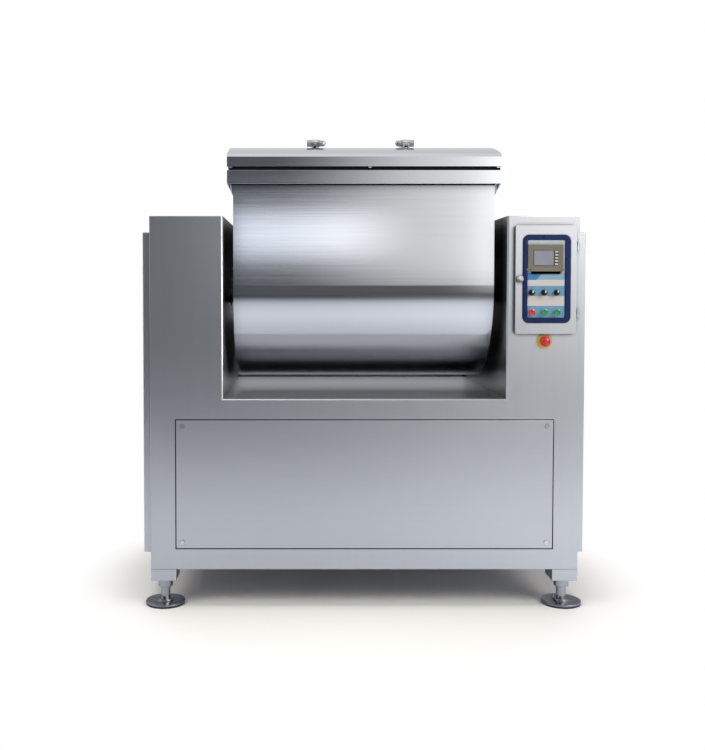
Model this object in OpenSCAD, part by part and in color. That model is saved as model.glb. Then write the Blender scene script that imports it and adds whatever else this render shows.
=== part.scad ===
// Vacuum dough mixer: a tilting trough with a vacuum lid between two columns.
// Millimetres. +X to the viewer's right, -Y to the front, +Z up, floor at Z = 0.

/* [Body] */
// Width of the body over its side skins
body_w = 1680; // [1600:10:1900]
// Depth of the body over its front and rear skins
body_d = 960; // [940:10:1100]
// Height of the column tops above the floor
body_top = 1538; // [1500:2:1600]
// Height of the lower edge of the skins
beam_bottom = 150; // [140:2:170]
// Height of the recess floor between the columns
recess_floor_z = 824; // [810:1:830]
// Height of the sill behind the recess floor
rear_sill_h = 16; // [10:1:20]
// Width of each column
column_w = 286; // [280:0.5:290]
// Thickness of the skins
skin_t = 3; // [2:0.5:4]

/* [Base frame] */
// Side of the square corner legs
leg_w = 94; // [84:2:104]
// Height of the leg ends above the floor
leg_bottom = 104; // [97:1:112]
// Wall of the square tubes
tube_wall = 4; // [3:0.5:6]
// Width of the base rails
rail_w = 60; // [50:2:70]
// Height of the base rails
rail_h = 74; // [60:2:80]
// Width of the side rails, which leave room for the belt
side_rail_w = 40; // [30:2:44]
// Side of the square column posts
column_post_w = 24; // [20:1:28]
// Thickness of the bearing plates
bearing_plate_t = 16; // [12:1:20]

/* [Service panel] */
// Width of the skin at each side of the service panel
panel_rim = 101; // [99:0.5:140]
// Height of the front service panel
panel_h = 506; // [485:1:512]
// Height of its lower edge above the floor
panel_bottom = 234; // [230:1:240]
// Gap round the service panel
panel_gap = 4; // [3:0.5:5]
// Width of the lip behind the edge of the opening
lip_w = 16; // [12:1:18]
// Distance of the corner screws from the panel edges
panel_screw_inset = 24; // [20:1:30]
// Diameter of the screw heads
screw_head_d = 16; // [12:1:18]
// Height of the screw heads
screw_head_h = 4; // [3:0.5:6]

/* [Side covers] */
// How far the side covers stand proud of the body
cover_proud = 35; // [25:1:40]
// Distance of the covers from the front and rear planes
cover_inset = 53; // [45:1:60]
// Height of the lower edge of the covers
cover_bottom = 205; // [195:1:215]
// Height of the upper edge of the covers
cover_top = 1478; // [1450:1:1490]
// Width of the skin's rim that carries a side cover
cover_rim = 30; // [24:1:36]

/* [Feet] */
// Diameter of the foot discs
foot_disc_d = 156; // [144:2:160]
// Thickness of the steel disc at its rim
foot_disc_t = 8; // [6:0.5:10]
// Thickness of the rubber ring under the disc
foot_pad_t = 6; // [5:0.5:8]
// Diameter of the foot spindles
spindle_d = 38; // [30:1:40]
// Diameter of the nut under each leg
foot_nut_d = 58; // [54:1:62]
// Height of the nut under each leg
foot_nut_h = 33; // [28:1:36]

/* [Trough] */
// Height of the tilting axis above the floor
axis_z = 1268; // [1264:1:1274]
// Distance of the tilting axis behind the front plane
axis_depth = 461; // [455:1:470]
// Outer radius of the trough
trough_r = 388; // [380:1:390]
// Gap between the trough's end plates and the recess walls
trough_side_gap = 36; // [33:0.5:42]
// Thickness of the trough shell
trough_t = 5; // [4:0.5:8]
// Thickness of the trough end plates
trough_end_t = 10; // [8:1:12]
// Height of the seal face above the tilting axis
flange_rise = 452.5; // [449:0.5:457]
// Height of the flange band
flange_h = 53.5; // [45:0.5:60]
// Gap between the flange ends and the recess walls
flange_side_gap = 14; // [10:0.5:19]
// How far the flange stands out in front of the trough
flange_out = 33; // [28:1:36]
// Height of the gussets under the flange ends
gusset_h = 45; // [35:1:55]
// Thickness of the gussets
gusset_t = 8; // [6:1:12]
// Diameter of the trunnions
trunnion_d = 150; // [140:2:156]
// Bore of the trunnions
trunnion_bore = 100; // [96:1:104]

/* [Lid] */
// Gap between the flange and the lid, filled by the seal
seal_h = 14.5; // [10:0.5:16]
// Width of the seal
seal_w = 20; // [16:1:24]
// Height of the lid's front band
lid_band_h = 38; // [32:1:44]
// Rise of the bent strip above the band
lid_bend_h = 15; // [12:1:20]
// Depth of the bent strip
lid_bend_d = 20; // [14:1:24]
// Rise of the arched top above the bent strip
lid_arch_h = 67; // [60:1:72]
// Thickness of the lid plate
lid_t = 4; // [3:0.5:6]
// Width of the lid's rim above the seal
lid_rim_w = 34; // [30:1:37]
// Distance of each lid arm from the middle
arm_x = 190; // [170:5:260]
// Thickness of the lid arms
arm_t = 12; // [10:1:16]
// Height of the lid arms
arm_h = 24; // [20:1:26]
// Distance of the lid's pivot bolts behind the front plane
lid_pivot_depth = 300; // [290:1:320]
// Diameter of the pivot bolts and of the lid hinge shaft
lid_bolt_d = 16; // [14:1:18]
// Diameter of the lid hinge shaft
lid_shaft_d = 24; // [20:1:26]

/* [Agitator] */
// Diameter of the agitator shaft
shaft_d = 80; // [76:1:84]
// Reach of the paddles from the axis
paddle_reach = 366; // [340:1:368]
// Number of paddle arms along the shaft
paddle_count = 6; // [4:2:6]
// Diameter of the paddle arms
paddle_arm_d = 44; // [36:1:50]
// Length of the paddles along the shaft
paddle_l = 92; // [70:1:96]
// Thickness of the paddles
paddle_t = 14; // [10:1:16]
// Width of the paddles round the axis
paddle_w = 100; // [80:1:110]

/* [Drive] */
// Diameter of the motor pulley
motor_pulley_d = 120; // [110:2:140]
// Diameter of the reducer pulley
reducer_pulley_d = 200; // [180:2:210]
// Width of the belt
belt_w = 30; // [24:1:32]
// Thickness of the belt
belt_t = 8; // [6:1:10]
// Diameter of the drive motor
motor_d = 250; // [220:5:260]
// Length of the drive motor
motor_l = 380; // [320:5:400]
// Distance of the reducer's input shaft below the tilting axis
input_drop = 210; // [200:1:215]

/* [Control door] */
// Width of the control door
door_w = 237; // [234:1:240]
// Height of the control door
door_h = 420; // [410:1:430]
// How far the control door stands proud of the body
door_proud = 22; // [18:1:26]
// Distance of the control door from the side of the body
door_side_gap = 21; // [20.5:0.5:23]
// Height of the door's middle above the floor
door_z = 1290; // [1285:1:1295]
// Radius of the door's corners
door_corner_r = 9; // [4:1:12]
// Diameter of the hinge knuckles
knuckle_d = 10; // [8:1:12]
// Diameter of the hinge pins
hinge_pin_d = 6; // [5:0.5:7]
// Diameter of the door lock's knob
lock_d = 28; // [24:1:30]

/* [Control panel] */
// Width of the blue bezel
bezel_w = 187; // [184:1:189]
// Height of the blue bezel
bezel_h = 343; // [335:1:350]
// Mean width of the bezel's band
bezel_band = 21.5; // [20:0.5:22]
// How far the bezel stands proud of the door
bezel_t = 6; // [4:0.5:8]
// Radius of the bezel's outer corners
bezel_corner_r = 25; // [20:1:30]
// Thickness of the overlay
overlay_t = 2; // [1:0.5:3]
// Width of the operator panel
hmi_w = 137; // [132:1:140]
// Height of the operator panel
hmi_h = 105; // [100:1:110]
// How far the operator panel stands proud of the overlay
hmi_t = 6; // [4:0.5:8]
// Width of the screen
screen_w = 76; // [70:1:78]
// Height of the screen
screen_h = 58; // [50:1:60]
// Distance between the columns of knobs and buttons
switch_pitch = 48.5; // [44:0.5:49]
// Diameter of the rings round the knobs and buttons
switch_ring_d = 29; // [26:1:30]
// Diameter of the knobs and button caps
switch_cap_d = 22; // [20:1:23]
// Height of the rings
switch_ring_h = 6; // [4:0.5:7]
// How far the knobs stand above their rings
knob_h = 20; // [16:1:24]
// Travel of the push buttons
button_travel = 4; // [3:0.5:5]

/* [Emergency stop] */
// Diameter of the yellow plate
estop_plate_d = 58; // [54:1:60]
// Diameter of the mushroom button
estop_cap_d = 40; // [36:1:42]
// Travel of the mushroom button
estop_travel = 6; // [5:0.5:7]
// Height of its middle above the floor
estop_z = 1050; // [1042:1:1050]

/* [Hidden] */
$fn = 64;
// Overrun of every cut
overrun = 2;
// Gap between pieces that move past each other
move_gap = 0.3;
// Radial clearance of a shaft in its bore
run_gap = 0.05;
// Segments of the wide lid arch
arch_segments = 720;

// Places of the body, measured from its middle, its front plane and the floor
half_w = body_w / 2;
recess_half = half_w - column_w;
recess_w = 2 * recess_half;
column_inner_x = recess_half + skin_t;
column_outer_x = half_w - skin_t;
rear_inner = body_d - skin_t;
floor_under = recess_floor_z - skin_t;
frame_front = 2 * skin_t;
frame_rear = body_d - frame_front;
leg_x = column_outer_x - leg_w / 2;
leg_front = frame_front + leg_w / 2;
leg_rear = frame_rear - leg_w / 2;
lower_rail_z = beam_bottom + skin_t;
// Root gap of the welds between the rails
weld_gap = 0.3;
upper_rail_z = floor_under - rail_h;
leg_inner_x = column_outer_x - leg_w;
gland_bore = 22;
gland_barrel_d = 32;
gland_hex_d = 46;
gland_hex_t = 10;
gland_reach = 28;
gland_dome_d = 38;
gland_side = 145;
gland_x = half_w - gland_side;
gland_z = 900;
knob_reach = door_proud + overlay_t + switch_ring_h + knob_h;
// Place of the body's front plane, so that the whole part is centred on its origin
front_y = (knob_reach - gland_reach - body_d) / 2;

// Bearing plates and column beams
bearing_plate_x = column_inner_x + column_post_w;
bearing_plate_gap = 20;
bearing_plate_top = 1515;
bearing_plate_out_x = bearing_plate_x + bearing_plate_t;

// Service panels
panel_side_gap = panel_gap;
panel_w = body_w - 2 * panel_rim;
opening_w = panel_w + 2 * panel_side_gap;
opening_h = panel_h + 2 * panel_gap;
lip_reach = 34;
screw_d = 8;
screw_hole_d = screw_d + 2 * run_gap;
louvre_rows = 8;
louvre_l = 420;
louvre_h = 14;
louvre_out = 9;
louvre_t = 2;
louvre_pitch = 46;
louvre_bank_x = 320;

// Side covers
cover_t = 2.5;
cover_screw_inset = 15;
cover_screw_rows = 3;
sink_d = screw_d + 2 * cover_t;

// Feet
leg_cap_t = 8;
spindle_up = 60;
spindle_foot_z = foot_pad_t + foot_disc_t;
foot_hub_d = 62;
foot_hub_h = 8;
foot_pad_inset = 1;

// Trough
axis_hole_gap = 15;
axis_hole_d = trunnion_d + 2 * axis_hole_gap;
hub_d = 230;
hub_t = 12;
half_l = recess_half - trough_side_gap;
trough_inner_l = half_l - trough_end_t;
flange_l = 2 * (recess_half - flange_side_gap);
flange_plate_t = 14;
flange_skirt_t = 6;
flange_top = axis_z + flange_rise;
flange_bottom = flange_top - flange_h;
flange_under = flange_top - flange_plate_t;
flange_front = axis_depth - trough_r - flange_out;
flange_rear = axis_depth + trough_r + flange_out;
bearing_d = 230;
bearing_l = 50;
bearing_foot_d = 300;
bearing_foot_t = 14;
trunnion_end = 12;
left_trunnion_x = bearing_plate_out_x + bearing_l + trunnion_end;
tilt_box_l = 96;
tilt_box_gap = 10;
tilt_box_x = bearing_plate_out_x + bearing_l + tilt_box_gap;
right_trunnion_x = tilt_box_x + tilt_box_l + trunnion_end;
shaft_seal_l = 34;

// Lid
lid_bottom = flange_top + seal_h;
lid_band_top = lid_bottom + lid_band_h;
lid_edge_z = lid_band_top + lid_bend_h;
lid_crown = lid_edge_z + lid_arch_h;
arch_half = (flange_rear - flange_front) / 2 - lid_bend_d;
arch_r = (arch_half * arch_half + lid_arch_h * lid_arch_h) / (2 * lid_arch_h);
arch_z = lid_crown - arch_r;
seal_inset = 6;
arm_gap = 4;
lug_t = 8;
lug_r = 16;
hinge_out = 30;
hinge_up = 31.5;
hinge_depth = flange_rear + hinge_out;
hinge_z = flange_top + hinge_up;
hinge_boss_r = 20;
bracket_t = 12;
bracket_gap = 6;
pivot_rise = 18.5;
pivot_offset = axis_depth - lid_pivot_depth;
pivot_z = arch_z + sqrt(arch_r * arch_r - pivot_offset * pivot_offset) + pivot_rise;
bolt_head_d = 30;
bolt_head_t = 20;
washer_d = 30;
washer_t = 4;
acorn_hex_d = 27;
acorn_hex_t = 14;
acorn_dome_d = 24;

// Agitator
shaft_tail = 132;
agitator_right_x = half_l + shaft_tail;
paddle_end_gap = 108;
paddle_pitch = 2 * (trough_inner_l - paddle_end_gap) / (paddle_count - 1);
paddle_turn = 60;
paddle_angle = 25;
collar_d = 130;
collar_l = 70;

// Drive
input_z = axis_z - input_drop;
motor_z = 420;
motor_face_gap = 26;
motor_shaft_d = 42;
motor_foot_t = 14;
motor_foot_w = 230;
motor_box = [130, 110, 60];
motor_shaft_in = 60;
pulley_w = 36;
pulley_side_gap = 10;
pulley_x = -(column_outer_x - pulley_side_gap);
motor_x = pulley_x + pulley_w + motor_face_gap;
pulley_rim = 5;
belt_x = pulley_x + (pulley_w - belt_w) / 2;
reducer_gap = 6;
reducer_x = pulley_x + pulley_w + reducer_gap;
agitator_left_x = reducer_x;
reducer_l = 110;
reducer_r = 150;
reducer_input_r = 100;
standoff_d = 30;
standoff_r = 134;
hollow_bore_d = shaft_d + 2 * run_gap;

// Tilt drive
tilt_box_half = 140;
tilt_standoff = 122;
tilt_motor_d = 150;
tilt_motor_l = 262;
tilt_motor_depth = 120;
tilt_cap_d = 120;
tilt_cap_h = 16;

// Vacuum line
union_d = 128;
union_l = 56;
union_spigot_l = 30;
union_port_d = 56;
union_port_l = 96;
hose_d = 44;
hose_bore = 32;
hose_side_gap = 35;
hose_x = half_w - hose_side_gap;
hose_run = 96;
hose_bend = 60;
pump_l = 400;
pump_half_w = 130;
pump_foot_h = 30;
pump_body_h = 210;
pump_head_share = 0.45;
pump_motor_d = 190;
pump_port_l = 14;
pump_x = hose_x - hose_bend - hose_run - pump_port_l - pump_l;
mount_rail_in = 70;
mount_rail_x = [motor_x + mount_rail_in, motor_x + motor_l - mount_rail_in,
    pump_x + mount_rail_in, pump_x + pump_l - mount_rail_in];
hose_z = lower_rail_z + rail_h + pump_foot_h + pump_body_h / 2;

// Control box behind the door
door_x = half_w - door_side_gap - door_w / 2;
opening_inset_left = 8.5;
opening_inset_right = 24;
opening_left = door_x - door_w / 2 + opening_inset_left;
opening_right = door_x + door_w / 2 - opening_inset_right;
opening_inset_z = 24;
box_over = 7;
box_wall = 1.5;
box_depth = 178;
bearing_plate_reach = axis_depth - skin_t - box_depth - bearing_plate_gap;
plate_inset = 12;
plate_t = 3;
device_d = 60;

// Door
door_wall = 2;
door_gap = 0.5;
hinge_side_gap = 1.5;
hinge_x = door_x + door_w / 2 + knuckle_d / 2 + hinge_side_gap;
hinge_pin_depth = -door_proud / 2;
knuckle_h = 35;
hinge_offset = 131;
lock_inset = 15.5;
lock_rise = 2;
lock_x = door_x - door_w / 2 + lock_inset;
lock_z = door_z + lock_rise;
lock_head_t = 6;
lock_stand = bezel_t + 1;
lock_barrel_d = 12;
cam_l = 13;
cam_w = 9;
cam_t = 3;
bezel_shift = 2;
bezel_rise = 3;
window_shift = 2.5;
window_corner_r = 5;
bezel_x = door_x + bezel_shift;
bezel_z = door_z + bezel_rise;
window_x = bezel_x - window_shift;
window_w = bezel_w - 2 * bezel_band;
window_h = bezel_h - 2 * bezel_band;
hmi_shift = 5.5;
hmi_rise = 81;
hmi_x = bezel_x - hmi_shift;
hmi_z = bezel_z + hmi_rise;
hmi_body_d = 40;
hmi_body_inset = 8;
screen_shift = 7.5;
screen_t = 1.2;
key_shift = 41.5;
screen_x = hmi_x - screen_shift;
key_x = hmi_x + key_shift;
key_w = 13;
key_h = 8;
key_pitch = 12;
key_count = 5;
key_t = 1;
switch_shift = 10;
knob_drop = 53;
button_drop = 130.5;
switch_x = bezel_x - switch_shift;
knob_z = bezel_z - knob_drop;
button_z = bezel_z - button_drop;
switch_barrel_d = 24;
switch_hole_d = switch_barrel_d + 2 * run_gap;
switch_block = [30, 28, 40];
knob_bar_w = 8;
knob_base_h = 8;
button_cap_h = 14;
button_stand = 5;
button_show = button_stand + button_travel;
estop_x = door_x;
estop_plate_t = 3;
estop_collar_d = 34;
estop_collar_h = 9;
estop_stem_d = 14;
estop_hole_d = 22;
estop_cap_h = 14;
estop_edge_share = 0.35;
estop_barrel_l = 40;
estop_lift = 2;

door_front = -door_proud;
overlay_front = door_front - overlay_t;
switch_front = overlay_front - switch_ring_h;

// Puts shapes drawn from the front plane into the part's own frame
module from_front() {
    translate([0, front_y, 0]) children();
}

// Box between two corners
module block(x, y, z) {
    translate([x[0], y[0], z[0]]) cube([x[1] - x[0], y[1] - y[0], z[1] - z[0]]);
}

// Square tube along Z, or a rail along X or Y, open at both ends
module tube(x, y, z, open_axis) {
    w = tube_wall;
    o = overrun;
    ix = open_axis == 0 ? [x[0] - o, x[1] + o] : [x[0] + w, x[1] - w];
    iy = open_axis == 1 ? [y[0] - o, y[1] + o] : [y[0] + w, y[1] - w];
    iz = open_axis == 2 ? [z[0] - o, z[1] + o] : [z[0] + w, z[1] - w];
    difference() {
        block(x, y, z);
        block(ix, iy, iz);
    }
}

// Outline drawn in depth and height, drawn out between two places across the body
module across(x0, x1) {
    translate([x0, 0, 0]) rotate([90, 0, 90]) linear_extrude(x1 - x0) children();
}

// Outline drawn across and up, drawn out between two depths
module inward(y0, y1) {
    translate([0, y1, 0]) rotate([90, 0, 0]) linear_extrude(y1 - y0) children();
}

// Round bar along X
module bar_x(d, x0, x1) {
    translate([x0, 0, 0]) rotate([0, 90, 0]) cylinder(d = d, h = x1 - x0);
}

// Round bar along Y
module bar_y(d, y0, y1) {
    translate([0, y0, 0]) rotate([-90, 0, 0]) cylinder(d = d, h = y1 - y0);
}

// Both sides of the body
module both_sides() {
    children();
    mirror([1, 0, 0]) children();
}

// Rectangle with round corners, centred
module round_rect(w, h, r) {
    square([w - 2 * r, h], center = true);
    square([w, h - 2 * r], center = true);
    for (sx = [-1, 1], sz = [-1, 1])
        translate([sx * (w / 2 - r), sz * (h / 2 - r)]) circle(r = r);
}

// Four corner legs: square tubes closed below, drilled for the spindles, flush with the skins below them
module base_legs() {
    color("#9a9ca1") from_front()
        for (sx = [-1, 1], y = [leg_front, leg_rear])
            difference() {
                union() {
                    block([sx * leg_x - leg_w / 2, sx * leg_x + leg_w / 2], [y - leg_w / 2, y + leg_w / 2],
                        [leg_bottom, floor_under]);
                    block([sx * leg_x - leg_w / 2 - skin_t, sx * leg_x + leg_w / 2 + skin_t],
                        [y - leg_w / 2 - frame_front, y + leg_w / 2 + frame_front],
                        [leg_bottom, beam_bottom]);
                }
                block([sx * leg_x - leg_w / 2 + tube_wall, sx * leg_x + leg_w / 2 - tube_wall],
                    [y - leg_w / 2 + tube_wall, y + leg_w / 2 - tube_wall],
                    [leg_bottom + leg_cap_t, floor_under + overrun]);
                translate([sx * leg_x, y, leg_bottom - overrun])
                    cylinder(d = spindle_d + 2 * run_gap, h = leg_cap_t + 2 * overrun);
            }
}

// Rails between the legs, column beams and the rails that carry the motor and the pump
module base_rails() {
    lower = [lower_rail_z, lower_rail_z + rail_h];
    upper = [upper_rail_z, floor_under];
    leg_x_in = [-leg_inner_x, leg_inner_x];
    y_front = [frame_front, frame_front + rail_w];
    y_rear = [frame_rear - rail_w, frame_rear];
    y_between = [frame_front + rail_w + weld_gap, frame_rear - rail_w - weld_gap];
    color("#8f9196") from_front() {
        for (z = [lower, upper], y = [y_front, y_rear])
            tube(leg_x_in, y, z, 0);
        both_sides() {
            for (z = [lower, upper])
                tube([leg_inner_x, leg_inner_x + side_rail_w],
                    [frame_front + leg_w, frame_rear - leg_w], z, 1);
            tube([bearing_plate_x, bearing_plate_x + rail_w], y_between, upper, 1);
        }
        for (x = mount_rail_x)
            tube([x - rail_w / 2, x + rail_w / 2], y_between, lower, 1);
    }
}

// Square posts in the corners of the columns
module column_posts() {
    w = column_post_w;
    color("#8f9196") from_front()
        both_sides()
            for (x = [column_inner_x, column_outer_x - w], y = [skin_t, rear_inner - w])
                tube([x, x + w], [y, y + w], [floor_under, body_top - skin_t], 2);
}

// Thick plates that carry the trunnion bearings
module bearing_plates() {
    color("#8f9196") from_front()
        both_sides()
            difference() {
                block([bearing_plate_x, bearing_plate_out_x],
                    [axis_depth - bearing_plate_reach, axis_depth + bearing_plate_reach],
                    [floor_under, bearing_plate_top]);
                translate([0, axis_depth, axis_z])
                    bar_x(axis_hole_d, bearing_plate_x - overrun, bearing_plate_out_x + overrun);
            }
}

// Plate that closes the base from below, cut out for the legs
module bottom_plate() {
    color("#a6a8ad") from_front()
        difference() {
            block([-column_outer_x, column_outer_x], [skin_t, rear_inner],
                [beam_bottom, beam_bottom + skin_t]);
            for (sx = [-1, 1], y = [leg_front, leg_rear])
                translate([sx * leg_x, y, beam_bottom])
                    cube([leg_w + 2 * move_gap, leg_w + 2 * move_gap, 4 * skin_t], center = true);
        }
}

// Outline of the front and rear skins: a U with an opening for the service panel
module skin_outline(sill = 0) {
    difference() {
        translate([-half_w, beam_bottom]) square([body_w, body_top - beam_bottom]);
        translate([-recess_half, recess_floor_z + sill]) square([recess_w, body_top]);
        translate([-opening_w / 2, panel_bottom - panel_gap]) square([opening_w, opening_h]);
    }
}

// Lip behind the opening, with the four screw holes
module opening_lip() {
    difference() {
        translate([0, panel_bottom + panel_h / 2])
            difference() {
                square([opening_w + 2 * lip_w, opening_h + 2 * lip_w], center = true);
                square([panel_w - 2 * lip_reach, panel_h - 2 * lip_reach], center = true);
            }
        panel_screw_places() circle(d = screw_hole_d);
    }
}

// The four corner screws of a service panel
module panel_screw_places() {
    for (sx = [-1, 1], sz = [-1, 1])
        translate([sx * (panel_w / 2 - panel_screw_inset),
            panel_bottom + panel_h / 2 + sz * (panel_h / 2 - panel_screw_inset)]) children();
}

// Front skin with the openings for the control box and the emergency stop
module front_skin() {
    color("#c3c5ca") from_front() {
        inward(0, skin_t)
            difference() {
                skin_outline();
                translate([opening_left, door_z - door_h / 2 + opening_inset_z])
                    square([opening_right - opening_left, door_h - 2 * opening_inset_z]);
                translate([estop_x, estop_z]) circle(d = estop_hole_d);
            }
        inward(skin_t, frame_front) opening_lip();
    }
}

// Rear skin with the hole for the cable gland, and a low sill that closes the recess floor
module rear_skin() {
    color("#b4b6bb") from_front() {
        inward(rear_inner, body_d)
            difference() {
                skin_outline(rear_sill_h);
                translate([gland_x, gland_z]) circle(d = gland_barrel_d + 2 * run_gap);
            }
        inward(frame_rear, rear_inner) opening_lip();
    }
}

// Side skins: frames round the openings that the side covers close
module side_skins() {
    color("#b4b6bb") from_front()
        both_sides()
            across(column_outer_x, half_w)
                difference() {
                    translate([skin_t, beam_bottom])
                        square([rear_inner - skin_t, body_top - skin_t - beam_bottom]);
                    translate([cover_inset + cover_rim, cover_bottom + cover_rim])
                        square([body_d - 2 * (cover_inset + cover_rim),
                            cover_top - cover_bottom - 2 * cover_rim]);
                    cover_screw_places() circle(d = screw_hole_d);
                }
}

// Places of the side cover screws
module cover_screw_places() {
    z0 = cover_bottom + cover_screw_inset;
    z1 = cover_top - cover_screw_inset;
    for (y = [cover_inset + cover_screw_inset, body_d - cover_inset - cover_screw_inset],
        k = [0 : cover_screw_rows - 1])
        translate([y, z0 + (z1 - z0) * k / (cover_screw_rows - 1)]) children();
}

// Inner walls of the columns with holes for the trunnions
module recess_walls() {
    color("#8d9096") from_front()
        both_sides()
            across(recess_half, column_inner_x)
                difference() {
                    translate([skin_t, floor_under])
                        square([rear_inner - skin_t, body_top - floor_under]);
                    translate([axis_depth, axis_z]) circle(d = axis_hole_d);
                }
}

// Floor of the recess
module recess_floor() {
    color("#a0a3a9") from_front()
        block([-recess_half, recess_half], [skin_t, rear_inner], [floor_under, recess_floor_z]);
}

// Tops of the columns
module column_tops() {
    color("#c3c5ca") from_front()
        both_sides()
            block([column_inner_x, half_w], [skin_t, rear_inner], [body_top - skin_t, body_top]);
}

// Shallow tray that covers the side of a column
module side_cover() {
    from_front()
        difference() {
            block([half_w, half_w + cover_proud], [cover_inset, body_d - cover_inset],
                [cover_bottom, cover_top]);
            block([half_w - overrun, half_w + cover_proud - cover_t],
                [cover_inset + cover_t, body_d - cover_inset - cover_t],
                [cover_bottom + cover_t, cover_top - cover_t]);
            cover_screw_places_at(half_w + cover_proud) screw_sink(2 * run_gap);
        }
}

// Countersunk head that lies flush in a side cover, with its outer face at X = 0
module screw_sink(play) {
    rotate([0, -90, 0]) translate([0, 0, -overrun * sign(play)])
        cylinder(d = sink_d + play, h = overrun * sign(play));
    rotate([0, -90, 0]) cylinder(d1 = sink_d + play, d2 = screw_d + play, h = cover_t);
}

// Places of the side cover screws at a distance from the middle of the body
module cover_screw_places_at(x) {
    z0 = cover_bottom + cover_screw_inset;
    z1 = cover_top - cover_screw_inset;
    for (y = [cover_inset + cover_screw_inset, body_d - cover_inset - cover_screw_inset],
        k = [0 : cover_screw_rows - 1])
        translate([x, y, z0 + (z1 - z0) * k / (cover_screw_rows - 1)]) children();
}

module left_side_cover() {
    color("#b9bbc0") mirror([1, 0, 0]) side_cover();
}

module right_side_cover() {
    color("#b9bbc0") side_cover();
}

// Outline of a service panel
module panel_outline() {
    difference() {
        translate([-panel_w / 2, panel_bottom]) square([panel_w, panel_h]);
        panel_screw_places() circle(d = screw_hole_d);
    }
}

// Flush front service panel
module front_service_panel() {
    color("#a6abb5") from_front() inward(0, skin_t) panel_outline();
}

// Rear service panel with two banks of louvres over slots
module rear_louvre_panel() {
    first_z = panel_bottom + (panel_h - (louvre_rows - 1) * louvre_pitch) / 2;
    color("#a6abb5") from_front() {
        inward(rear_inner, body_d)
            difference() {
                panel_outline();
                louvre_places(first_z) square([louvre_l, louvre_h - 2 * louvre_t], center = true);
            }
        louvre_places_solid(first_z);
    }
}

// Places of the louvres on the panel's outline
module louvre_places(first_z) {
    for (sx = [-1, 1], k = [0 : louvre_rows - 1])
        translate([sx * louvre_bank_x, first_z + k * louvre_pitch]) children();
}

// Sloping hoods over the slots, open below
module louvre_places_solid(first_z) {
    for (sx = [-1, 1], k = [0 : louvre_rows - 1])
        translate([0, body_d, first_z + k * louvre_pitch])
            across(sx * louvre_bank_x - louvre_l / 2, sx * louvre_bank_x + louvre_l / 2)
                polygon([[0, louvre_h / 2], [0, louvre_h / 2 + louvre_t],
                    [louvre_out, -louvre_h / 2], [louvre_out - louvre_t, -louvre_h / 2]]);
}

// Screws of the service panels and the side covers
module cover_screws() {
    color("#e0e0e2") from_front() {
        translate([0, 0, panel_bottom + panel_h / 2])
            for (sx = [-1, 1], sz = [-1, 1])
                translate([sx * (panel_w / 2 - panel_screw_inset), 0,
                    sz * (panel_h / 2 - panel_screw_inset)]) {
                    bar_y(screw_head_d, -screw_head_h, 0);
                    bar_y(screw_d, 0, frame_front);
                    bar_y(screw_head_d, body_d, body_d + screw_head_h);
                    bar_y(screw_d, frame_rear, body_d);
                }
        both_sides() {
            cover_screw_places_at(half_w + cover_proud) screw_sink(0);
            across(column_outer_x, half_w + cover_proud - cover_t) cover_screw_places() circle(d = screw_d);
        }
    }
}

// Places of the four feet
module foot_places() {
    for (sx = [-1, 1], y = [leg_front, leg_rear])
        translate([sx * leg_x, front_y + y, 0]) children();
}

// Nuts welded under the legs
module foot_nuts() {
    color("#c9cacd")
        foot_places()
            difference() {
                translate([0, 0, leg_bottom - foot_nut_h]) cylinder(d = foot_nut_d, h = foot_nut_h);
                translate([0, 0, leg_bottom - foot_nut_h - overrun])
                    cylinder(d = spindle_d + 2 * run_gap, h = foot_nut_h + 2 * overrun);
            }
}

// Threaded spindles that stand in the foot discs
module foot_spindles() {
    color("#a9aaae")
        foot_places()
            translate([0, 0, spindle_foot_z])
                cylinder(d = spindle_d, h = leg_bottom + leg_cap_t + spindle_up - spindle_foot_z);
}

// Foot discs with a hub round the spindle
module foot_discs() {
    color("#6f7074")
        foot_places()
            rotate_extrude()
                difference() {
                    union() {
                        translate([0, foot_pad_t]) square([foot_disc_d / 2, foot_disc_t]);
                        translate([0, foot_pad_t]) square([foot_hub_d / 2, foot_disc_t + foot_hub_h]);
                    }
                    translate([-overrun, spindle_foot_z]) square([spindle_d / 2 + run_gap + overrun, leg_w]);
                }
}

// Rubber rings under the discs
module foot_pads() {
    color("#232326")
        foot_places() cylinder(d = foot_disc_d - 2 * foot_pad_inset, h = foot_pad_t);
}

// Bearing housings of the trunnions, bolted to the bearing plates
module trunnion_bearings() {
    x0 = bearing_plate_out_x;
    color("#5f6f86") from_front() translate([0, axis_depth, axis_z])
        both_sides()
            difference() {
                union() {
                    bar_x(bearing_foot_d, x0, x0 + bearing_foot_t);
                    bar_x(bearing_d, x0, x0 + bearing_l);
                }
                bar_x(trunnion_d + 2 * run_gap, x0 - overrun, x0 + bearing_l + overrun);
            }
}

// Drive motor with its feet and terminal box
module drive_motor() {
    end_x = motor_x + motor_l;
    foot_x = [motor_x + motor_foot_t, end_x - motor_foot_w / 4];
    color("#4a6a8c") from_front()
        difference() {
            union() {
                translate([0, axis_depth, motor_z]) bar_x(motor_d, motor_x, end_x);
                block(foot_x, [axis_depth - motor_foot_w / 2, axis_depth + motor_foot_w / 2],
                    [lower_rail_z + rail_h, lower_rail_z + rail_h + motor_foot_t]);
                for (sy = [-1, 1])
                    block(foot_x, [axis_depth + sy * motor_foot_w / 3 - motor_foot_t / 2,
                            axis_depth + sy * motor_foot_w / 3 + motor_foot_t / 2],
                        [lower_rail_z + rail_h, motor_z - motor_foot_w / 4]);
                translate([motor_x + motor_l / 2 - motor_box[0] / 2, axis_depth - motor_box[1] / 2,
                    motor_z + motor_d / 2 - motor_foot_t]) cube(motor_box);
            }
            translate([0, axis_depth, motor_z])
                bar_x(motor_shaft_d + 2 * run_gap, motor_x - overrun, motor_x + motor_shaft_in);
        }
}

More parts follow.
